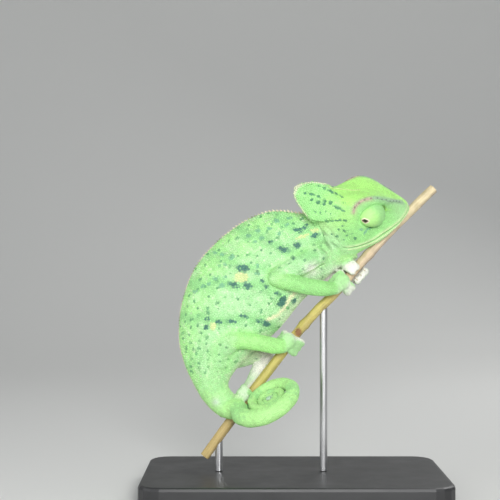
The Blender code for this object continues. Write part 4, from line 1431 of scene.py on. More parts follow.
def settle(points, rounds):
    """Points pushed apart from their nearest neighbours and put back on the skin."""
    for i in range(rounds):
        index, away = near_points(points, 6)
        want = away[:, :4].mean(axis=1) * 1.12
        push = np.clip(want[:, None] - away, 0.0, None)
        ways = unit(points[:, None] - points[index])
        points = points + SETTLE_PUSH * (push[:, :, None] * ways).sum(axis=1)
        points = on_skin(points)[0]
    return points


def keep_point(points, normals):
    """True for points clear of the stem, the eyes and the mouth line."""
    keep = stem_gap(points) > STEM_RADIUS + 0.25
    for name, hand in HANDS:
        keep &= np.linalg.norm(points - eye_centre(hand), axis=1) > EYE_RADIUS + 0.05
    back, up, side = mirrored(points)[0].T
    at_mouth = (np.abs(up - mouth_height(back)) < MOUTH_CLEAR) & (np.abs(normals @ RIGHT_WAY) > 0.1)
    return keep & ~(at_mouth & (back < 33.0) & (back > 0.3) & (side > 0.6))


roots = settle(roots, SETTLE_ROUNDS)
roots, root_normals = on_skin(roots)
kept = keep_point(roots, root_normals)
roots, root_normals = roots[kept], root_normals[kept]
root_share, root_along = body_map(roots)
root_zone = zone_of(roots, root_share, root_along)
root_room = near_points(roots, 4)[1][:, :3].mean(axis=1)
print("scales", len(roots), "mean spacing", round(float(root_room.mean()), 2))

# %% [markdown]
# ## Unwrap for the bake
#
# Each scale gets a small patch of texture at its root's place, so that its colour can be baked.  A light
# copy of the skin is unwrapped, and each root looks up its place on that copy.

# %% Unwrap
UNWRAP_FACES = 9000
PATCH = 0.0014


def unwrap_skin():
    """Tree, corner places and corner UVs of a light unwrapped copy of the skin."""
    copy = skin.copy()
    bpy.context.collection.objects.link(copy)
    light = copy.modifiers.new("light", "DECIMATE")
    light.ratio = UNWRAP_FACES / len(skin.data.polygons) / 2
    apply_modifiers(copy)
    copy.data.uv_layers.new(name="OFBake")
    bpy.ops.object.select_all(action="DESELECT")
    bpy.context.view_layer.objects.active = copy
    copy.select_set(True)
    bpy.ops.object.mode_set(mode="EDIT")
    bpy.ops.mesh.select_all(action="SELECT")
    bpy.ops.mesh.quads_convert_to_tris()
    bpy.ops.uv.smart_project(angle_limit=math.radians(66.0), island_margin=0.004)
    bpy.ops.object.mode_set(mode="OBJECT")
    points = vert_array(copy.data)
    corners = np.array([tuple(face.vertices) for face in copy.data.polygons])
    flat = np.empty(len(copy.data.loops) * 2, dtype=np.float32)
    copy.data.uv_layers["OFBake"].data.foreach_get("uv", flat)
    bpy.data.objects.remove(copy, do_unlink=True)
    tree = BVHTree.FromPolygons([Vector(point) for point in points], [tuple(row) for row in corners])
    return tree, points[corners], flat.reshape(-1, 3, 2).astype(float)


unwrap_tree, unwrap_corners, unwrap_uvs = unwrap_skin()


def bake_places(points):
    """Place on the unwrap of points of the skin."""
    hits = [unwrap_tree.find_nearest(Vector(point)) for point in points]
    face = np.array([hit[2] for hit in hits])
    place = np.array([hit[0] for hit in hits])
    a, b, c = (unwrap_corners[face, k] for k in range(3))
    full = np.cross(b - a, c - a)
    size = np.maximum((full ** 2).sum(axis=1), 1e-9)
    u = (np.cross(c - b, place - b) * full).sum(axis=1) / size
    v = (np.cross(a - c, place - c) * full).sum(axis=1) / size
    share = np.clip(np.stack([u, v, 1.0 - u - v], axis=1), 0.0, 1.0)
    return (unwrap_uvs[face] * (share / share.sum(axis=1, keepdims=True))[:, :, None]).sum(axis=1)


print("unwrapped", len(unwrap_uvs), "faces")

# %% [markdown]
# ## One scale, many times
#
# The grain is a low six-sided dome: a cone cut off short, its top face poked up in the middle.  The dome is
# copied to every root, turned at random, and joined into one mesh per region.  A grain takes its root's
# colour, with painted shade towards its rim, where the groove between grains is, and a little painted light
# on its top.

# %% Scale meshes
GRAIN_TOP = 0.62                 # width of the flat top over the width of the base
GRAIN_SINK = 0.30                # how far the base goes under the skin, of the height
# painted shade at the foot of each copy and painted light on its top, as shares of its colour
RIM_SHADE = 0.74
TOP_SHADE = 1.03


def template(bm):
    """Points and triangles of a small closed shape that is copied many times."""
    bmesh.ops.triangulate(bm, faces=bm.faces)
    bmesh.ops.recalc_face_normals(bm, faces=bm.faces)
    bm.verts.ensure_lookup_table()
    points = np.array([vert.co for vert in bm.verts])
    corners = np.array([[vert.index for vert in face.verts] for face in bm.faces])
    bm.free()
    return points, corners


def grain():
    """A dome 1 wide and 1 high."""
    bm = bmesh.new()
    bmesh.ops.create_cone(bm, cap_ends=True, segments=6, radius1=1.0, radius2=GRAIN_TOP, depth=1.0)
    top = max(bm.faces, key=lambda face: face.calc_center_median().z)
    poked = bmesh.ops.poke(bm, faces=[top])
    bmesh.ops.translate(bm, verts=poked["verts"], vec=(0.0, 0.0, 0.25))
    points, corners = template(bm)
    points[:, 2] = points[:, 2] + 0.5 - GRAIN_SINK
    points[:, 2] /= points[:, 2].max()
    return points, corners


GRAIN = grain()


def bare_mesh(name, points, corners):
    """A mesh of triangles from arrays."""
    mesh = bpy.data.meshes.new(name)
    mesh.vertices.add(len(points))
    mesh.loops.add(corners.size)
    mesh.polygons.add(len(corners))
    mesh.vertices.foreach_set("co", (points * MM).astype(np.float32).ravel())
    mesh.loops.foreach_set("vertex_index", corners.astype(np.int32).ravel())
    mesh.polygons.foreach_set("loop_start", np.arange(0, corners.size, 3, dtype=np.int32))
    mesh.update(calc_edges=True)
    mesh.shade_smooth()
    return mesh


def frames(normals, ways=None):
    """Two directions across each normal; ways sets the first one where it matters."""
    if ways is None:
        ways = random.normal(size=normals.shape)
    first = unit(ways - normals * (ways * normals).sum(axis=1, keepdims=True))
    return first, np.cross(normals, first)


def scale_mesh(name, shape, places, normals, wide, high, colour, uvs, ways=None, long=None):
    """Copies of a shape at the places; long stretches them along their way."""
    first, second = frames(normals, ways)
    long = wide if long is None else long
    local, triangles = shape
    points = (places[:, None] + first[:, None] * (local[None, :, 0:1] * long[:, None, None])
              + second[:, None] * (local[None, :, 1:2] * wide[:, None, None])
              + normals[:, None] * (local[None, :, 2:3] * high[:, None, None])).reshape(-1, 3)
    count = len(local)
    corners = (triangles[None] + (np.arange(len(places)) * count)[:, None, None]).reshape(-1, 3)
    mesh = bare_mesh(name, points, corners)
    # painted shade and light by height in the shape: darker at the foot, a little lighter at the top
    shade = np.interp(local[:, 2], [0.0, 0.6, 1.0], [RIM_SHADE, 0.97, TOP_SHADE])
    store_colour(mesh, (colour[:, None] * shade[None, :, None]).reshape(-1, 3))
    patch = local[:, :2] * PATCH
    corner_uvs = (uvs[:, None] + patch[None]).reshape(-1, 2)[corners.ravel()]
    mesh.uv_layers.new(name="OFBake").data.foreach_set("uv", corner_uvs.astype(np.float32).ravel())
    made = link(name, mesh)
    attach(made, "root")
    return made

print("a grain has", len(GRAIN[1]), "triangles")

# %% [markdown]
# ## Cover the skin
#
# The grains take the width that their neighbours leave.  A few on the flank are larger, and in the dark
# blotches some stay pale, which gives the speckled look of the living skin.

# %% Scale pieces
LARGE_SHARE = 0.05
PALE_SHARE = 0.10
root_colour = paint(roots, root_normals, root_share, root_along)
dice = random.uniform(size=len(roots))
root_wide = root_room * 0.56 * random.uniform(0.93, 1.07, len(roots))
large = (dice < LARGE_SHARE) & (root_zone == "trunk")
root_wide[large] *= 1.22
root_high = np.minimum(0.30 * root_wide + 0.03, COAT - 0.02)
root_colour *= random.uniform(0.88, 1.08, len(roots))[:, None]
dark = (root_colour[:, 1] < 0.40) & (random.uniform(size=len(roots)) < PALE_SHARE * 2)
root_colour[dark] = root_colour[dark] * 0.4 + INK["band"] * 0.6
root_uvs = bake_places(roots)
root_part = root_zone.copy()
limb_share = sum(root_share[name] for name in LIMBS)
leg_share = root_share["leg_right"] + root_share["leg_left"]
root_part[(root_zone == "face") & (limb_share > 0.5)] = "limb"
root_part[(root_part == "limb") & (leg_share > 0.5 * limb_share)] = "leg"
right_side = roots[:, 1] < 0.0
REGIONS = {
    "scales_flank_right": (root_part == "trunk") & right_side,
    "scales_flank_left": (root_part == "trunk") & ~right_side,
    "scales_head": root_part == "head",
    "scales_face": root_part == "face",
    "scales_lobes": root_part == "lobe",
    "scales_arms": root_part == "limb",
    "scales_legs": root_part == "leg",
    "scales_tail": root_part == "tail",
}
scale_pieces = []
for name, chosen in REGIONS.items():
    scale_pieces.append(scale_mesh(name, GRAIN, roots[chosen], root_normals[chosen], root_wide[chosen],
                                   root_high[chosen], root_colour[chosen], root_uvs[chosen]))
    print(name, int(chosen.sum()), "scales", len(scale_pieces[-1].data.polygons), "triangles")

# %% [markdown]
# ## Crests and rows of larger scales
#
# Cones of cream scales stand along the back ridge, large over the shoulders and small over the hips, with
# small ones under the throat and the belly.  Rows of larger beads follow the brow, the casque, the lips
# and the free edge of the lobes.


# %% Crests
def thorn(sides, rows, lean):
    """A cone 1 wide and 1 high with a sunk foot, its tip bent forward along the first direction."""
    bm = bmesh.new()
    bmesh.ops.create_cone(bm, cap_ends=True, segments=sides, radius1=1.0, radius2=0.10, depth=1.0)
    for k in range(1, rows):
        cut = {"geom": bm.verts[:] + bm.edges[:] + bm.faces[:], "plane_co": (0.0, 0.0, k / rows - 0.5)}
        bmesh.ops.bisect_plane(bm, plane_no=(0.0, 0.0, 1.0), **cut)
    points, corners = template(bm)
    high = points[:, 2] + 0.5
    points[:, :2] *= (1.0 + 0.55 * high * (1.0 - high))[:, None]
    points[:, 0] += lean * high ** 2
    points[:, 2] = high * 1.12 - 0.12
    return points, corners


THORN = thorn(8, 4, 0.9)
CREST_SPACING = (1.75, 0.80)     # at the neck and over the hips
CREST_HEIGHT = (1.05, 0.40)
CREST_DARK_AT = (0.235, 0.37, 0.48, 0.575, 0.66)


def spaced(line, spacing):
    """Points along a line whose spacing runs from the first to the second value, and their share passed."""
    steps = np.concatenate([[0.0], np.cumsum(np.linalg.norm(np.diff(line, axis=0), axis=1))])
    places = [0.4 * spacing[0]]
    while places[-1] < steps[-1]:
        share = places[-1] / steps[-1]
        places.append(places[-1] + spacing[0] + (spacing[1] - spacing[0]) * share)
    places = np.array(places[:-1])
    points = np.stack([np.interp(places, steps, line[:, axis]) for axis in range(3)], axis=1)
    slopes = np.gradient(line, steps, axis=0)
    ways = np.stack([np.interp(places, steps, slopes[:, axis]) for axis in range(3)], axis=1)
    return points, unit(ways), places / steps[-1]


def back_crest():
    """Cream cones along the back ridge, tinted pink and darker in a few places."""
    line = trunk[6:, 0]
    points, ways, share = spaced(line, CREST_SPACING)
    points, normals = on_skin(points)
    heights = [0.5 * CREST_HEIGHT[0], CREST_HEIGHT[0], 0.72, CREST_HEIGHT[1]]
    high = np.interp(share, [0.0, 0.06, 0.45, 1.0], heights)
    high *= random.uniform(0.85, 1.12, len(points))
    wide = np.interp(share, [0.0, 1.0], [0.52, 0.30])
    pale = mix(INK["crest_pale"], INK["crest_pink"], random.uniform(0.0, 0.6, len(points)) ** 2)
    dark = np.max([bump(share - place, 0.022) for place in CREST_DARK_AT], axis=0)
    colour = mix(pale, INK["crest_dark"], 0.9 * dark)
    return points, normals, wide, high, colour, ways, wide * 1.45


def under_crest():
    """Small pale cones under the throat and the belly."""
    backs = np.linspace(5.0, 38.0, 60)
    rows = smooth_rows(HEAD, HEAD_ROWS)
    chin = np.interp(backs, rows[:, 0], rows[:, 1]) - 0.3
    throat = head_point(backs, chin, np.zeros(60))
    belly = trunk[8:-16, TRUNK_SIDES // 2]
    sets = [spaced(throat, (1.15, 0.95)), spaced(belly, (0.95, 0.75))]
    points = np.vstack([row[0] for row in sets])
    ways = np.vstack([row[1] for row in sets])
    points, normals = on_skin(points)
    count = len(sets[0][0])
    high = np.concatenate([np.interp(sets[0][2], [0.0, 0.3, 1.0], [0.25, 0.62, 0.55]),
                           np.full(len(points) - count, 0.34)])
    wide = np.full(len(points), 0.30)
    colour = np.tile(INK["crest_under"], (len(points), 1))
    keep = stem_gap(points + normals * 0.6) > STEM_RADIUS + 0.2
    return [part[keep] for part in (points, normals, wide, high, colour, ways, wide * 1.3)]


def crest_piece(name, row):
    """One mesh of the cones of one crest."""
    points, normals, wide, high, colour, ways, long = row
    uvs = bake_places(points)
    return scale_mesh(name, THORN, points, normals, wide, high, colour, uvs, ways, long)


crests = [crest_piece("crest_back", back_crest()), crest_piece("crest_under", under_crest())]
print("crest triangles", [len(piece.data.polygons) for piece in crests])

# %% [markdown]
# ## Beads along the ridges of the head
#
# On the living animal the ridges of the brow and the casque, the lips and the rims of the lobes carry rows
# of scales larger than the rest.  They could be carved into the skin, but a few hundred copies of one
# rounded dome, set along the same lines that raise the ridges, stay sharp and cost little.


# %% Beads
def rounded_grain():
    """A rounder dome than the grain, for the few larger scales."""
    bm = bmesh.new()
    bmesh.ops.create_uvsphere(bm, u_segments=8, v_segments=6, radius=1.0)
    bmesh.ops.bisect_plane(bm, geom=bm.verts[:] + bm.edges[:] + bm.faces[:], plane_co=(0.0, 0.0, -0.35),
                           plane_no=(0.0, 0.0, -1.0), clear_outer=True)
    bmesh.ops.holes_fill(bm, edges=bm.edges, sides=0)
    return template(bm)


BEAD = rounded_grain()


def head_row(line, spacing, offset_up=0.0):
    """Points on both sides of the head along a line of the head frame."""
    rows = []
    line = np.array(line, dtype=float) + (0.0, offset_up, 0.0)
    for hand in (1, -1):
        placed = head_point(line[:, 0], line[:, 1], hand * line[:, 2])
        points, ways, share = spaced(placed, (spacing, spacing))
        rows.append((*on_skin(points), ways, share))
        if np.allclose(line[:, 2], 0.0):
            break
    return [np.concatenate([row[k] for row in rows]) for k in range(4)]


def lip_line(over):
    """A line along the mouth, over or under it, on the right side."""
    backs = np.linspace(1.5, 31.0, 60)
    rows = smooth_rows(HEAD, HEAD_ROWS)
    wide = np.interp(backs, rows[:, 0], rows[:, 4])
    return np.stack([backs, mouth_height(backs) + over, wide], axis=1)


def lobe_edge(hand):
    """Points round the free edge of one lobe."""
    turns = np.radians(np.linspace(-80.0, 95.0, 40))
    place = lobe_side(lobe_place(np.cos(turns), np.sin(turns), 1.0), hand)
    return head_point(place[:, 0], place[:, 1], place[:, 2])


def bead_rows():
    """Every row of beads: places, normals, ways, half width, half length, height and colour."""
    made = []

    def add(row, wide, long, high, card, mottled=False):
        count = len(row[0])
        tone = INK[card] * random.uniform(0.9, 1.06, count)[:, None]
        if mottled:
            tone[::3] *= 0.55
        ones = np.ones(count)
        made.append((*row[:3], wide * ones, long * ones, high * ones, tone))

    brow = smooth_rows(BROW, 60)
    add(head_row(brow[4:34], 0.78), 0.40, 0.42, 0.36, "brow_green", True)
    add(head_row(brow[33:], 0.86), 0.44, 0.46, 0.40, "bead_brow", True)
    add(head_row([(17.5, 16.6, 0.0), (21.0, 18.2, 0.0), (25.0, 21.0, 0.0), (29.0, 23.4, 0.0),
                  (33.0, 25.4, 0.0), (36.5, 22.6, 0.0)], 0.80), 0.36, 0.42, 0.34, "bead_casque")
    add(head_row(lip_line(0.72), 0.86), 0.34, 0.46, 0.22, "bead_over")
    add(head_row(lip_line(-0.78), 0.86), 0.34, 0.46, 0.22, "bead_under")
    for hand in (1, -1):
        points, ways, share = spaced(lobe_edge(hand), (0.80, 0.80))
        points, normals = on_skin(points)
        add((points, normals, ways), 0.36, 0.42, 0.30, "bead_lobe")
    return [np.concatenate([row[k] for row in made]) for k in range(7)]


places, normals, ways, wide, long, high, tone = bead_rows()
beads = scale_mesh("scales_beads", BEAD, places, normals, wide, high, tone, bake_places(places), ways, long)
print("beads", len(places), "triangles", len(beads.data.polygons))

# %% [markdown]
# ## Lid turrets
#
# Each turret is a surface of revolution about the line of sight, pulled out into a cone and flared where
# it meets the socket.  It is closed but for an almond opening with a thick pale rim; the rings run from
# the floor of the opening over the rim and back to the far pole.

# %% Lids
LID_RADIUS = EYE_RADIUS - 0.18
OPENING = (1.36, 0.82)           # half length and half height
OPENING_TILT = 0.22
OPENING_DEPTH = 1.0
RIM_RAISE = 0.13
LID_FLARE = 0.45
LID_SIDES = 96
LID_BACK = math.radians(168.0)


def lid_axes(hand):
    """Line of sight, the way along the opening and the way across it."""
    gaze = eye_gaze(hand)
    along = HEAD_AXES @ np.array((math.cos(OPENING_TILT), 0.0, math.sin(OPENING_TILT)))
    along = (along * (1.0, 1.0, hand)) @ HEAD_AXES
    along = unit(along - gaze * np.dot(along, gaze))
    return gaze, along, np.cross(gaze, along)


def opening_angle(turn):
    """Angle from the line of sight to the edge of the almond opening."""
    pinch = 1.0 - 0.18 * np.abs(np.sin(2 * turn))
    reach = pinch / np.sqrt((np.cos(turn) / OPENING[0]) ** 2 + (np.sin(turn) / OPENING[1]) ** 2)
    return reach / LID_RADIUS


def lid_points(hand, share, turn, lift=0.0):
    """Points of the turret: share 0 at the opening's edge and 1 at the back."""
    gaze, along, across = lid_axes(hand)
    edge = opening_angle(turn)
    polar = edge + (LID_BACK - edge) * share
    facing = np.maximum(0.0, np.cos(polar) - EYE_CONE_FROM) / (1.0 - EYE_CONE_FROM)
    radius = LID_RADIUS + RIM_RAISE * bump((polar - edge) * LID_RADIUS - 0.25, 0.28) + lift
    radius = radius + LID_FLARE * soft(polar, 0.9, 1.6) * (1.0 - soft(polar, 1.75, 2.4))
    turned = np.cos(turn)[..., None] * along + np.sin(turn)[..., None] * across
    way = np.sin(polar)[..., None] * turned + np.cos(polar)[..., None] * gaze
    return eye_centre(hand) + way * radius[..., None] + gaze * (EYE_CONE * facing ** 1.5)[..., None], way


def lid_rings(hand):
    """Rings of one turret, from the floor of the opening to the far pole."""
    turn = np.linspace(0.0, 2 * math.pi, LID_SIDES, endpoint=False)
    gaze = lid_axes(hand)[0]
    edge = lid_points(hand, np.zeros(LID_SIDES), turn)[0]
    middle = edge.mean(axis=0)
    rings = []
    for size, depth in ((0.02, 1.0), (0.5, 1.0), (0.86, 0.96), (0.92, 0.6), (0.94, 0.3)):
        rings.append(middle + (edge - middle) * size - gaze * OPENING_DEPTH * depth)
    for share in np.concatenate([np.linspace(0.0, 0.12, 9), np.linspace(0.15, 0.97, 40)]):
        rings.append(lid_points(hand, np.full(LID_SIDES, share), turn)[0])
    back = rings[-1].mean(axis=0)
    rings.append(back + (rings[-1] - back) * 0.02)
    return np.array(rings)


print("lid rings", *(len(lid_rings(hand)) for name, hand in HANDS))

# %% [markdown]
# ## Paint and grains of the turrets
#
# The rim is pale, with a brown line where it meets the eyeball.  Fine grains sit on the cone in rings, as
# on the living lid, which stretches and closes in rings when the eye turns.


# %% Lid paint and grains
def lid_colour(points, hand):
    """Pale rim round the opening, a brown line inside it, lime over the cone, greener at the socket."""
    gaze, along, across = lid_axes(hand)
    way = unit(points - eye_centre(hand))
    polar = np.arccos(np.clip(way @ gaze, -1.0, 1.0))
    turn = np.arctan2(way @ across, way @ along)
    past = (polar - opening_angle(turn)) * LID_RADIUS
    colour = mix(INK["lid"], INK["lid_edge"], soft(polar, 0.75, 1.35))
    rays = soft(np.sin(turn * 14.0 + 2.0 * np.sin(polar * 9.0)), 0.3, 1.0) * soft(polar, 0.4, 0.8)
    colour = mix(colour, INK["lid_ray"], 0.30 * rays)
    colour = mix(colour, INK["rim"], 1.0 - soft(past, 0.28, 0.58))
    colour = mix(colour, INK["rim_line"], 0.85 * (1.0 - soft(past, -0.10, 0.08)))
    return colour


def lid_piece(name, hand):
    """One painted turret, in place of the solid of its eye."""
    piece = new_object("lid_" + name, wrap(lid_rings(hand)))
    piece.data.shade_smooth()
    store_colour(piece.data, lid_colour(vert_array(piece.data), hand) * 0.92)
    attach(piece, "root")
    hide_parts("eye_" + name)
    return piece


LID_ROW_GAP = 0.50


def lid_grains(name, hand):
    """Rings of fine grains over the turret, larger away from the opening."""
    rows = []
    share = 0.052
    while share < 0.62:
        polar = float(opening_angle(np.array(0.8)) * (1 - share) + LID_BACK * share)
        gap = LID_ROW_GAP * (0.72 + 0.4 * min(1.0, share / 0.3))
        count = int(2 * math.pi * LID_RADIUS * math.sin(polar) / gap)
        turn = np.linspace(0.0, 2 * math.pi, count, endpoint=False) + random.uniform(0.0, 6.0)
        turn = turn + random.normal(0.0, 0.10 * gap / LID_RADIUS, count)
        rows.append((np.full(count, share) + random.normal(0.0, 0.0012, count), turn, np.full(count, gap)))
        share += gap * 0.90 / LID_RADIUS / LID_BACK
    share, turn, gap = (np.concatenate([row[k] for row in rows]) for k in range(3))
    points, ways = lid_points(hand, share, turn, -0.02)
    colour = lid_colour(points, hand) * random.uniform(0.95, 1.05, len(points))[:, None]
    reach = 0.22 * share / 0.62
    side = 0.25 if hand > 0 else 0.75
    uvs = np.stack([side + reach * np.cos(turn), 0.5 + reach * np.sin(turn)], axis=1)
    return scale_mesh("scales_lid_" + name, GRAIN, points, ways, gap * 0.54, gap * 0.20, colour, uvs)


lids = [lid_piece(name, hand) for name, hand in HANDS]
lid_scales = [lid_grains(name, hand) for name, hand in HANDS]
print("lid grains", [len(piece.data.polygons) // len(GRAIN[1]) for piece in lid_scales])

# %% [markdown]
# ## Eyes
#
# Only a small part of the dark glossy eyeball shows in the opening: the pupil and a thin ring of iris.

# %% Eyeballs
BALL_RADIUS = 2.4
BALL_BELOW = 0.26
IRIS_RING = 1.0                  # radius of the thin ring of iris
PUPIL_COLOUR = linear((14, 12, 12))
IRIS_COLOUR = linear((96, 66, 34))


def eyeball(name, hand):
    """One glossy ball with a dark pupil and a thin ring of iris."""
    bm = bmesh.new()
    bmesh.ops.create_uvsphere(bm, u_segments=48, v_segments=32, radius=BALL_RADIUS * MM)
    gaze = Vector(eye_gaze(hand))
    centre = Vector(eye_centre(hand)) + gaze * (LID_RADIUS + EYE_CONE - BALL_BELOW - BALL_RADIUS)
    turn = Vector((0.0, 0.0, 1.0)).rotation_difference(gaze).to_matrix().to_4x4()
    bmesh.ops.transform(bm, matrix=Matrix.Translation(centre * MM) @ turn, verts=bm.verts)
    piece = new_object("eyeball_" + name, bm)
    piece.data.shade_smooth()
    away = vert_array(piece.data) - np.array(centre)
    off = np.linalg.norm(away - np.outer(away @ np.array(gaze), gaze), axis=1)
    store_colour(piece.data, mix(PUPIL_COLOUR, IRIS_COLOUR, bump(off - IRIS_RING, 0.22)))
    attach(piece, "root")
    return piece


eyeballs = [eyeball(name, hand) for name, hand in HANDS]

print("eyeballs", len(eyeballs))

# %% [markdown]
# ## Claws
#
# Each toe ends in a small pale claw that hooks on to the bark.  A claw is a short tube that narrows to a
# blunt tip.  It starts inside its toe, so that no joint shows, and all claws are one mesh.

# %% Claws
CLAW_BASE = 0.40
CLAW_TIP = 0.07


def claw_piece():
    """All claws as one mesh, darker at the tips."""
    bodies = []
    bases = []
    for limb in LIMBS.values():
        for rows, claw in toe_lines(*limb):
            line = smooth_rows(claw, 9)
            radius = CLAW_BASE + (CLAW_TIP - CLAW_BASE) * np.linspace(0.0, 1.0, 9) ** 0.9
            bodies.append(tube_rings(np.hstack([line, radius[:, None]]), 12))
            bases.append(claw[0])
    piece = new_object("claws", join_bodies(bodies))
    piece.data.shade_smooth()
    tree = tree_of(bases)
    away = np.array([tree.find(Vector(point))[2] for point in vert_array(piece.data)])
    colour = mix(INK["claw"], INK["claw_tip"], soft(away, 0.6, 1.9))
    store_colour(piece.data, colour)
    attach(piece, "root")
    return piece


claws = claw_piece()
print("claws", len(claws.data.polygons), "faces")

# %% [markdown]
# ## Stem
#
# The stem is a slightly bent woody shoot with fine lengthwise ridges, two flat cut ends with pale wood and
# a soft pith, a small scar, and short white hairs.

# %% Stem
STEM_SIDES = 32
STEM_ENDS = (1.0, 0.94, 0.90, 0.45, 0.40, 0.02)   # rings of the cut face, outside in
SCAR_PLACE = np.array((1.7, -2.0, 66.4))


def stem_rings():
    """Rings of the stem with its ridges and nodes, closed by two flat cuts."""
    rows = smooth_rows(STEM_AXIS, 180)
    rings = tube_rings(np.hstack([rows, np.full((len(rows), 1), STEM_RADIUS)]), STEM_SIDES, domed=False)
    middle = rows[:, None]
    turn = np.linspace(0.0, 2 * math.pi, STEM_SIDES, endpoint=False)
    along = np.linspace(0.0, 1.0, len(rows))[:, None]
    ridge = 0.035 * np.sin(turn * 7 + 3 * np.sin(along * 9)) + 0.03 * np.sin(turn * 3 + along * 40)
    swell = 0.16 * bump(along - 0.37, 0.012) + 0.12 * bump(along - 0.71, 0.015)
    rings = middle + (rings - middle) * (0.955 + ridge + swell)[:, :, None]
    ends = []
    for end, ahead in ((0, rows[0] - rows[1]), (-1, rows[-1] - rows[-2])):
        ahead = unit(ahead)
        spokes = rings[end] - rows[end]
        ends.append([rows[end] + spokes * size + ahead * 0.12 * (size < 0.99) for size in STEM_ENDS])
    return np.concatenate([ends[0][::-1], rings[1:-1], ends[1]])


def stem_colour(points):
    """Colour of the bark: browner at the low end, paler at the top, greyer below."""
    x = points[:, 0]
    colour = mix(INK["bark_low"], INK["bark"], soft(x, -30.0, -12.0))
    colour = mix(colour, INK["bark_high"], soft(x, 14.0, 26.0))
    colour = mix(colour, INK["bark_top"], soft(x, 38.0, 50.0))
    under = soft(-(points - stem_near(points))[:, 2], 0.2, 1.8)
    colour = mix(colour, INK["bark_under"], (0.35 + 0.35 * soft(x, 14.0, 40.0)) * under)
    colour = mix(colour, INK["bark_patch"], 0.35 * soft(ripple(points, 5.0, 41), 0.2, 1.2))
    scar = 1.0 - soft(np.linalg.norm((points - SCAR_PLACE) * (1.0, 0.6, 0.8), axis=1), 1.0, 1.9)
    return mix(colour, INK["bark_scar"], 0.85 * scar)


def stem_near(points):
    """Nearest places on the stem's axis."""
    tree = tree_of(stem_line)
    return np.array([tree.find(Vector(point))[0] for point in points])


def stem_piece():
    """The stem with its painted bark and its two cut faces."""
    rings = stem_rings()
    piece = new_object("stem", wrap(rings, "bark"))
    piece.data.shade_smooth()
    points = vert_array(piece.data)
    colour = stem_colour(points)
    for end in (0, -1):
        ahead = unit(stem_line[end] - stem_line[1 if end == 0 else -2])
        face = soft((points - stem_line[end]) @ ahead, 0.02, 0.10)
        off = np.linalg.norm(points - stem_line[end], axis=1)
        wood = mix(INK["wood"], INK["pith"], 1.0 - soft(off, 0.8, 1.0))
        colour = mix(colour, wood, face)
    store_colour(piece.data, colour)
    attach(piece, "root")
    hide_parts("perch_stem")
    return piece


HAIR = thorn(4, 3, 0.0)
HAIR_COUNT = 620
HAIR_COLOUR = linear((240, 240, 232))


def stem_hairs():
    """Short stiff white hairs on the bare lengths of the stem."""
    at = random.integers(4, len(stem_line) - 4, HAIR_COUNT)
    axis = unit(stem_line[at + 1] - stem_line[at - 1])
    out = random.normal(size=(HAIR_COUNT, 3))
    out = unit(out - axis * (out * axis).sum(axis=1, keepdims=True))
    places = stem_line[at] + out * STEM_RADIUS * 0.95
    clear = np.array([skin_tree.find_nearest(Vector(place))[3] for place in places]) > 1.0
    high = random.uniform(0.35, 0.95, HAIR_COUNT)
    lean = unit(out + 0.35 * axis * random.uniform(-0.4, 1.0, HAIR_COUNT)[:, None])
    colour = np.tile(HAIR_COLOUR, (HAIR_COUNT, 1))
    wide = np.full(HAIR_COUNT, 0.055)
    uvs = random.uniform(0.02, 0.98, (HAIR_COUNT, 2))
    rows = (places, lean, wide, high, colour, uvs)
    made = scale_mesh("stem_hairs", HAIR, *(row[clear] for row in rows))
    return made


stem = stem_piece()
hairs = stem_hairs()
print("stem", len(stem.data.polygons), "faces, hairs", len(hairs.data.polygons), "triangles")

# %% [markdown]
# ## Finishes
#
# The paint is already on the meshes as the attribute "markings".  What a finish adds is the fine grain of
# the surface: small changes of tone, of gloss and of height.  The skin, the scales, the crests and the lids
# share one effect, so it is a node group, built once and placed in each material with its own values.

# %% Node helpers
PAINT_NAME = "markings"
NOISE_RANGE = (0.3, 0.7)         # nearly all values of a noise lie in it


def node(tree, kind, **settings):
    """A new shader node with some of its settings."""
    made = tree.nodes.new("ShaderNode" + kind)
    for name, value in settings.items():
        setattr(made, name, value)
    return made


def feed(tree, socket, value):
    """Links a socket to another one, or sets its value."""
    if isinstance(value, bpy.types.NodeSocket):
        tree.links.new(value, socket)
    else:
        socket.default_value = value


def noise(tree, place, scale, detail=3.0, rough=0.55):
    """Values of a noise texture at a place."""
    made = node(tree, "TexNoise")
    feed(tree, made.inputs["Vector"], place)
    feed(tree, made.inputs["Scale"], scale)
    feed(tree, made.inputs["Detail"], detail)
    made.inputs["Roughness"].default_value = rough
    return made.outputs["Fac"]


def span(tree, value, to_low, to_high):
    """A noise value read in another range."""
    made = node(tree, "MapRange")
    names = ("Value", "From Min", "From Max", "To Min", "To Max")
    for name, given in zip(names, (value, *NOISE_RANGE, to_low, to_high)):
        feed(tree, made.inputs[name], given)
    return made.outputs["Result"]


def tinted(tree, colour, amount):
    """A colour made lighter or darker by an amount near 1."""
    made = node(tree, "VectorMath", operation="SCALE")
    feed(tree, made.inputs[0], colour)
    feed(tree, made.inputs["Scale"], amount)
    return made.outputs["Vector"]


def painted_material(name):
    """A new material, its node tree, its shader and the painted colour."""
    made, tree, shader = new_material(name)
    return made, tree, shader, node(tree, "Attribute", attribute_name=PAINT_NAME).outputs["Color"]


def bump_into(tree, shader, height, strength, distance):
    """Lets a height tilt the normals of a shader; the distance is in millimetres."""
    made = node(tree, "Bump")
    made.inputs["Strength"].default_value = strength
    made.inputs["Distance"].default_value = distance * MM
    feed(tree, made.inputs["Height"], height)
    feed(tree, shader.inputs["Normal"], made.outputs["Normal"])


print("paint is read from", PAINT_NAME)

# %% [markdown]
# ## Effects that materials share
#
# Living skin has pores, and each pore catches a little shade.  Horn, glass and hair have faint streaks
# instead.  Each of the two effects is a node group with the same three results: colour, roughness and
# height.  A material then only says how large and how strong they are.

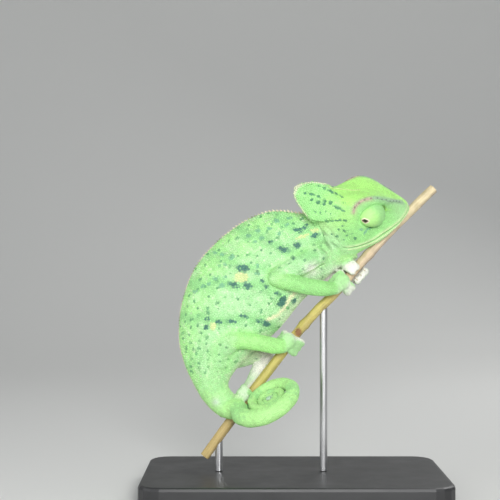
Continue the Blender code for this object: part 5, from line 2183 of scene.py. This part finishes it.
# %% Effect: grained skin
def new_group(name, values):
    """A node group that takes paint and some values, with its input and its output sockets."""
    group = bpy.data.node_groups.new(name, "ShaderNodeTree")
    wanted = [("Paint", "INPUT"), *((value, "INPUT") for value in values)]
    wanted += [("Colour", "OUTPUT"), ("Roughness", "OUTPUT"), ("Height", "OUTPUT")]
    for label, way in wanted:
        kind = "NodeSocketColor" if label in ("Paint", "Colour") else "NodeSocketFloat"
        group.interface.new_socket(name=label, in_out=way, socket_type=kind)
    return group, group.nodes.new("NodeGroupInput").outputs, group.nodes.new("NodeGroupOutput").inputs


def grain_group():
    """Tone, gloss and height of skin: soft clouds, fine pores and a dry or moist sheen."""
    values = ("Pores", "Clouds", "Contrast", "Gloss Low", "Gloss High")
    group, given, result = new_group("grained skin", values)
    place = node(group, "TexCoord").outputs["Object"]
    fine = noise(group, place, given["Pores"])
    slow = noise(group, place, given["Clouds"], 2.0)
    less = node(group, "Math", operation="SUBTRACT")
    less.inputs[0].default_value = 1.0
    feed(group, less.inputs[1], given["Contrast"])
    more = node(group, "Math", operation="ADD")
    more.inputs[0].default_value = 1.0
    feed(group, more.inputs[1], given["Contrast"])
    toned = tinted(group, given["Paint"], span(group, fine, less.outputs[0], more.outputs[0]))
    feed(group, result["Colour"], tinted(group, toned, span(group, slow, 0.97, 1.03)))
    feed(group, result["Roughness"], span(group, slow, given["Gloss Low"], given["Gloss High"]))
    pores = node(group, "TexVoronoi", feature="F1")
    feed(group, pores.inputs["Vector"], place)
    feed(group, pores.inputs["Scale"], given["Pores"])
    both = node(group, "Math", operation="ADD")
    feed(group, both.inputs[0], pores.outputs["Distance"])
    feed(group, both.inputs[1], fine)
    feed(group, result["Height"], both.outputs[0])
    return group


GRAINED = grain_group()


print(GRAINED.name, "takes", len(GRAINED.interface.items_tree) - 3, "values")

# %% [markdown]
# ## Streaks
#
# Horn grows in layers and hair in fibres, so both show faint streaks.  One noise gives the tone, the gloss
# and the height at once, because on such smooth things they change together.


# %% Effect: faint streaks
def streak_group():
    """Tone, gloss and height of horn, glass and hair, all from one noise."""
    values = ("Scale", "Detail", "Dark", "Light", "Gloss Low", "Gloss High")
    group, given, result = new_group("faint streaks", values)
    streaks = noise(group, node(group, "TexCoord").outputs["Object"], given["Scale"], given["Detail"])
    toned = tinted(group, given["Paint"], span(group, streaks, given["Dark"], given["Light"]))
    feed(group, result["Colour"], toned)
    feed(group, result["Roughness"], span(group, streaks, given["Gloss Low"], given["Gloss High"]))
    feed(group, result["Height"], streaks)
    return group


STREAKED = streak_group()


print(STREAKED.name, "takes", len(STREAKED.interface.items_tree) - 3, "values")

# %% [markdown]
# ## Finishes of the skin
#
# The skin between the scales is duller and rougher than the scales, which are worn smooth.  The crest is
# a little duller again.  All five finishes use the same effect with other values.


# %% Skin finishes
def effect_material(name, group, values, strength=0.0, distance=0.05):
    """A material whose paint goes through a shared effect, and its shader."""
    made, tree, shader, paint_colour = painted_material(name)
    effect = node(tree, "Group", node_tree=group)
    feed(tree, effect.inputs["Paint"], paint_colour)
    for socket, value in zip(list(effect.inputs)[1:], values):
        socket.default_value = value
    feed(tree, shader.inputs["Base Color"], effect.outputs["Colour"])
    feed(tree, shader.inputs["Roughness"], effect.outputs["Roughness"])
    if strength:
        bump_into(tree, shader, effect.outputs["Height"], strength, distance)
    return made, shader


def skin_material(name, values, strength):
    """Skin: its pores, clouds, contrast and two gloss values, and how deep the pores are."""
    made, shader = effect_material(name, GRAINED, values, strength)
    shader.inputs["Specular IOR Level"].default_value = 0.42
    return made


def finish(pieces, material):
    """Puts one material on some pieces."""
    for piece in pieces:
        piece.data.materials.clear()
        piece.data.materials.append(material)


finish([skin], skin_material("skin between scales", (2600.0, 180.0, 0.10, 0.52, 0.66), 0.5))
finish(scale_pieces, skin_material("scales", (3400.0, 220.0, 0.06, 0.40, 0.54), 0.3))
finish([beads] + lid_scales, skin_material("beaded scales", (3400.0, 220.0, 0.05, 0.38, 0.50), 0.3))
finish(crests, skin_material("crest scales", (2200.0, 260.0, 0.08, 0.42, 0.58), 0.4))
finish(lids, skin_material("lid skin", (2600.0, 240.0, 0.07, 0.40, 0.54), 0.5))
print("skin finishes on", 1 + len(scale_pieces) + 1 + len(lid_scales) + len(crests) + len(lids), "pieces")

# %% [markdown]
# ## Claws, eyes and hairs
#
# A claw is horn: glossy, with faint lengthwise streaks.  The eyeball is glass with a lacquered front, and
# only its iris has a grain.  The hairs of the stem are dull and nearly white.

# %% Claw, eye and hair finishes
horn = effect_material("claw horn", STREAKED, (1900.0, 4.0, 0.86, 1.08, 0.24, 0.38), 0.3, 0.04)[0]
glass, glass_shader = effect_material("eye glass", STREAKED, (2600.0, 3.0, 0.75, 1.25, 0.05, 0.09))
glass_shader.inputs["Coat Weight"].default_value = 1.0
glass_shader.inputs["Coat Roughness"].default_value = 0.03
hair = effect_material("stem hair", STREAKED, (700.0, 2.0, 0.85, 1.05, 0.6, 0.8))[0]
finish([claws], horn)
finish(eyeballs, glass)
finish([hairs], hair)
print("streaked finishes on", 2 + len(eyeballs), "pieces")

# %% [markdown]
# ## Bark
#
# The shoot has fibres that run along it, so its grain is read from a map that runs round and along the
# stem and is stretched lengthwise.

# %% Bark finish
FIBRES_ROUND = 34.0
FIBRES_ALONG = 9.0
PATCHES_ALONG = 26.0


def bark_material():
    """Fibres along the stem over slower patches."""
    made, tree, shader, paint_colour = painted_material("green bark")
    flat = node(tree, "UVMap", uv_map="bark").outputs["UV"]
    lengthwise = node(tree, "Mapping")
    feed(tree, lengthwise.inputs["Vector"], flat)
    lengthwise.inputs["Scale"].default_value = (FIBRES_ROUND, FIBRES_ALONG, 1.0)
    patchwise = node(tree, "Mapping")
    feed(tree, patchwise.inputs["Vector"], flat)
    patchwise.inputs["Scale"].default_value = (3.0, PATCHES_ALONG, 1.0)
    fibres = noise(tree, lengthwise.outputs["Vector"], 1.0, 4.0, 0.6)
    patches = noise(tree, patchwise.outputs["Vector"], 1.0, 3.0)
    toned = tinted(tree, paint_colour, span(tree, fibres, 0.84, 1.10))
    feed(tree, shader.inputs["Base Color"], tinted(tree, toned, span(tree, patches, 0.90, 1.08)))
    feed(tree, shader.inputs["Roughness"], span(tree, fibres, 0.72, 0.55))
    bump_into(tree, shader, fibres, 0.6, 0.12)
    return made


finish([stem], bark_material())

print("bark on", stem.name)

# %% [markdown]
# ## Stand
#
# The stand is the plain one of a display case: a flat base in dark satin lacquer, with a very fine orange
# peel, and two rods of brushed steel whose brush marks run along them.

# %% Stand finishes
def two_tone(tree, share, one, two):
    """A colour between two by a share."""
    made = node(tree, "Mix", data_type="RGBA")
    feed(tree, made.inputs[0], share)
    made.inputs[6].default_value = (*one, 1.0)
    made.inputs[7].default_value = (*two, 1.0)
    return made.outputs[2]


def lacquer_material():
    """Dark paint with a fine orange peel."""
    made, tree, shader = new_material("dark satin lacquer")
    place = node(tree, "TexCoord").outputs["Object"]
    peel = noise(tree, place, 900.0, 2.0)
    tone = noise(tree, place, 60.0, 3.0)
    toned = two_tone(tree, tone, (0.018, 0.018, 0.019), (0.034, 0.034, 0.036))
    feed(tree, shader.inputs["Base Color"], toned)
    feed(tree, shader.inputs["Roughness"], span(tree, tone, 0.36, 0.48))
    bump_into(tree, shader, peel, 0.15, 0.05)
    return made


def steel_material():
    """Bare metal with brush marks along the rod."""
    made, tree, shader = new_material("brushed steel")
    shader.inputs["Metallic"].default_value = 1.0
    stretch = node(tree, "Mapping")
    feed(tree, stretch.inputs["Vector"], node(tree, "TexCoord").outputs["Object"])
    stretch.inputs["Scale"].default_value = (4000.0, 4000.0, 120.0)
    marks = noise(tree, stretch.outputs["Vector"], 1.0, 4.0)
    toned = two_tone(tree, marks, (0.46, 0.47, 0.48), (0.66, 0.66, 0.66))
    feed(tree, shader.inputs["Base Color"], toned)
    feed(tree, shader.inputs["Roughness"], span(tree, marks, 0.26, 0.42))
    bump_into(tree, shader, marks, 0.2, 0.02)
    return made


steel = steel_material()
finish([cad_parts["stand_base"]], lacquer_material())
finish([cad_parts["stand_rod_low"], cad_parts["stand_rod_high"]], steel)

print("stand finishes on 3 pieces")
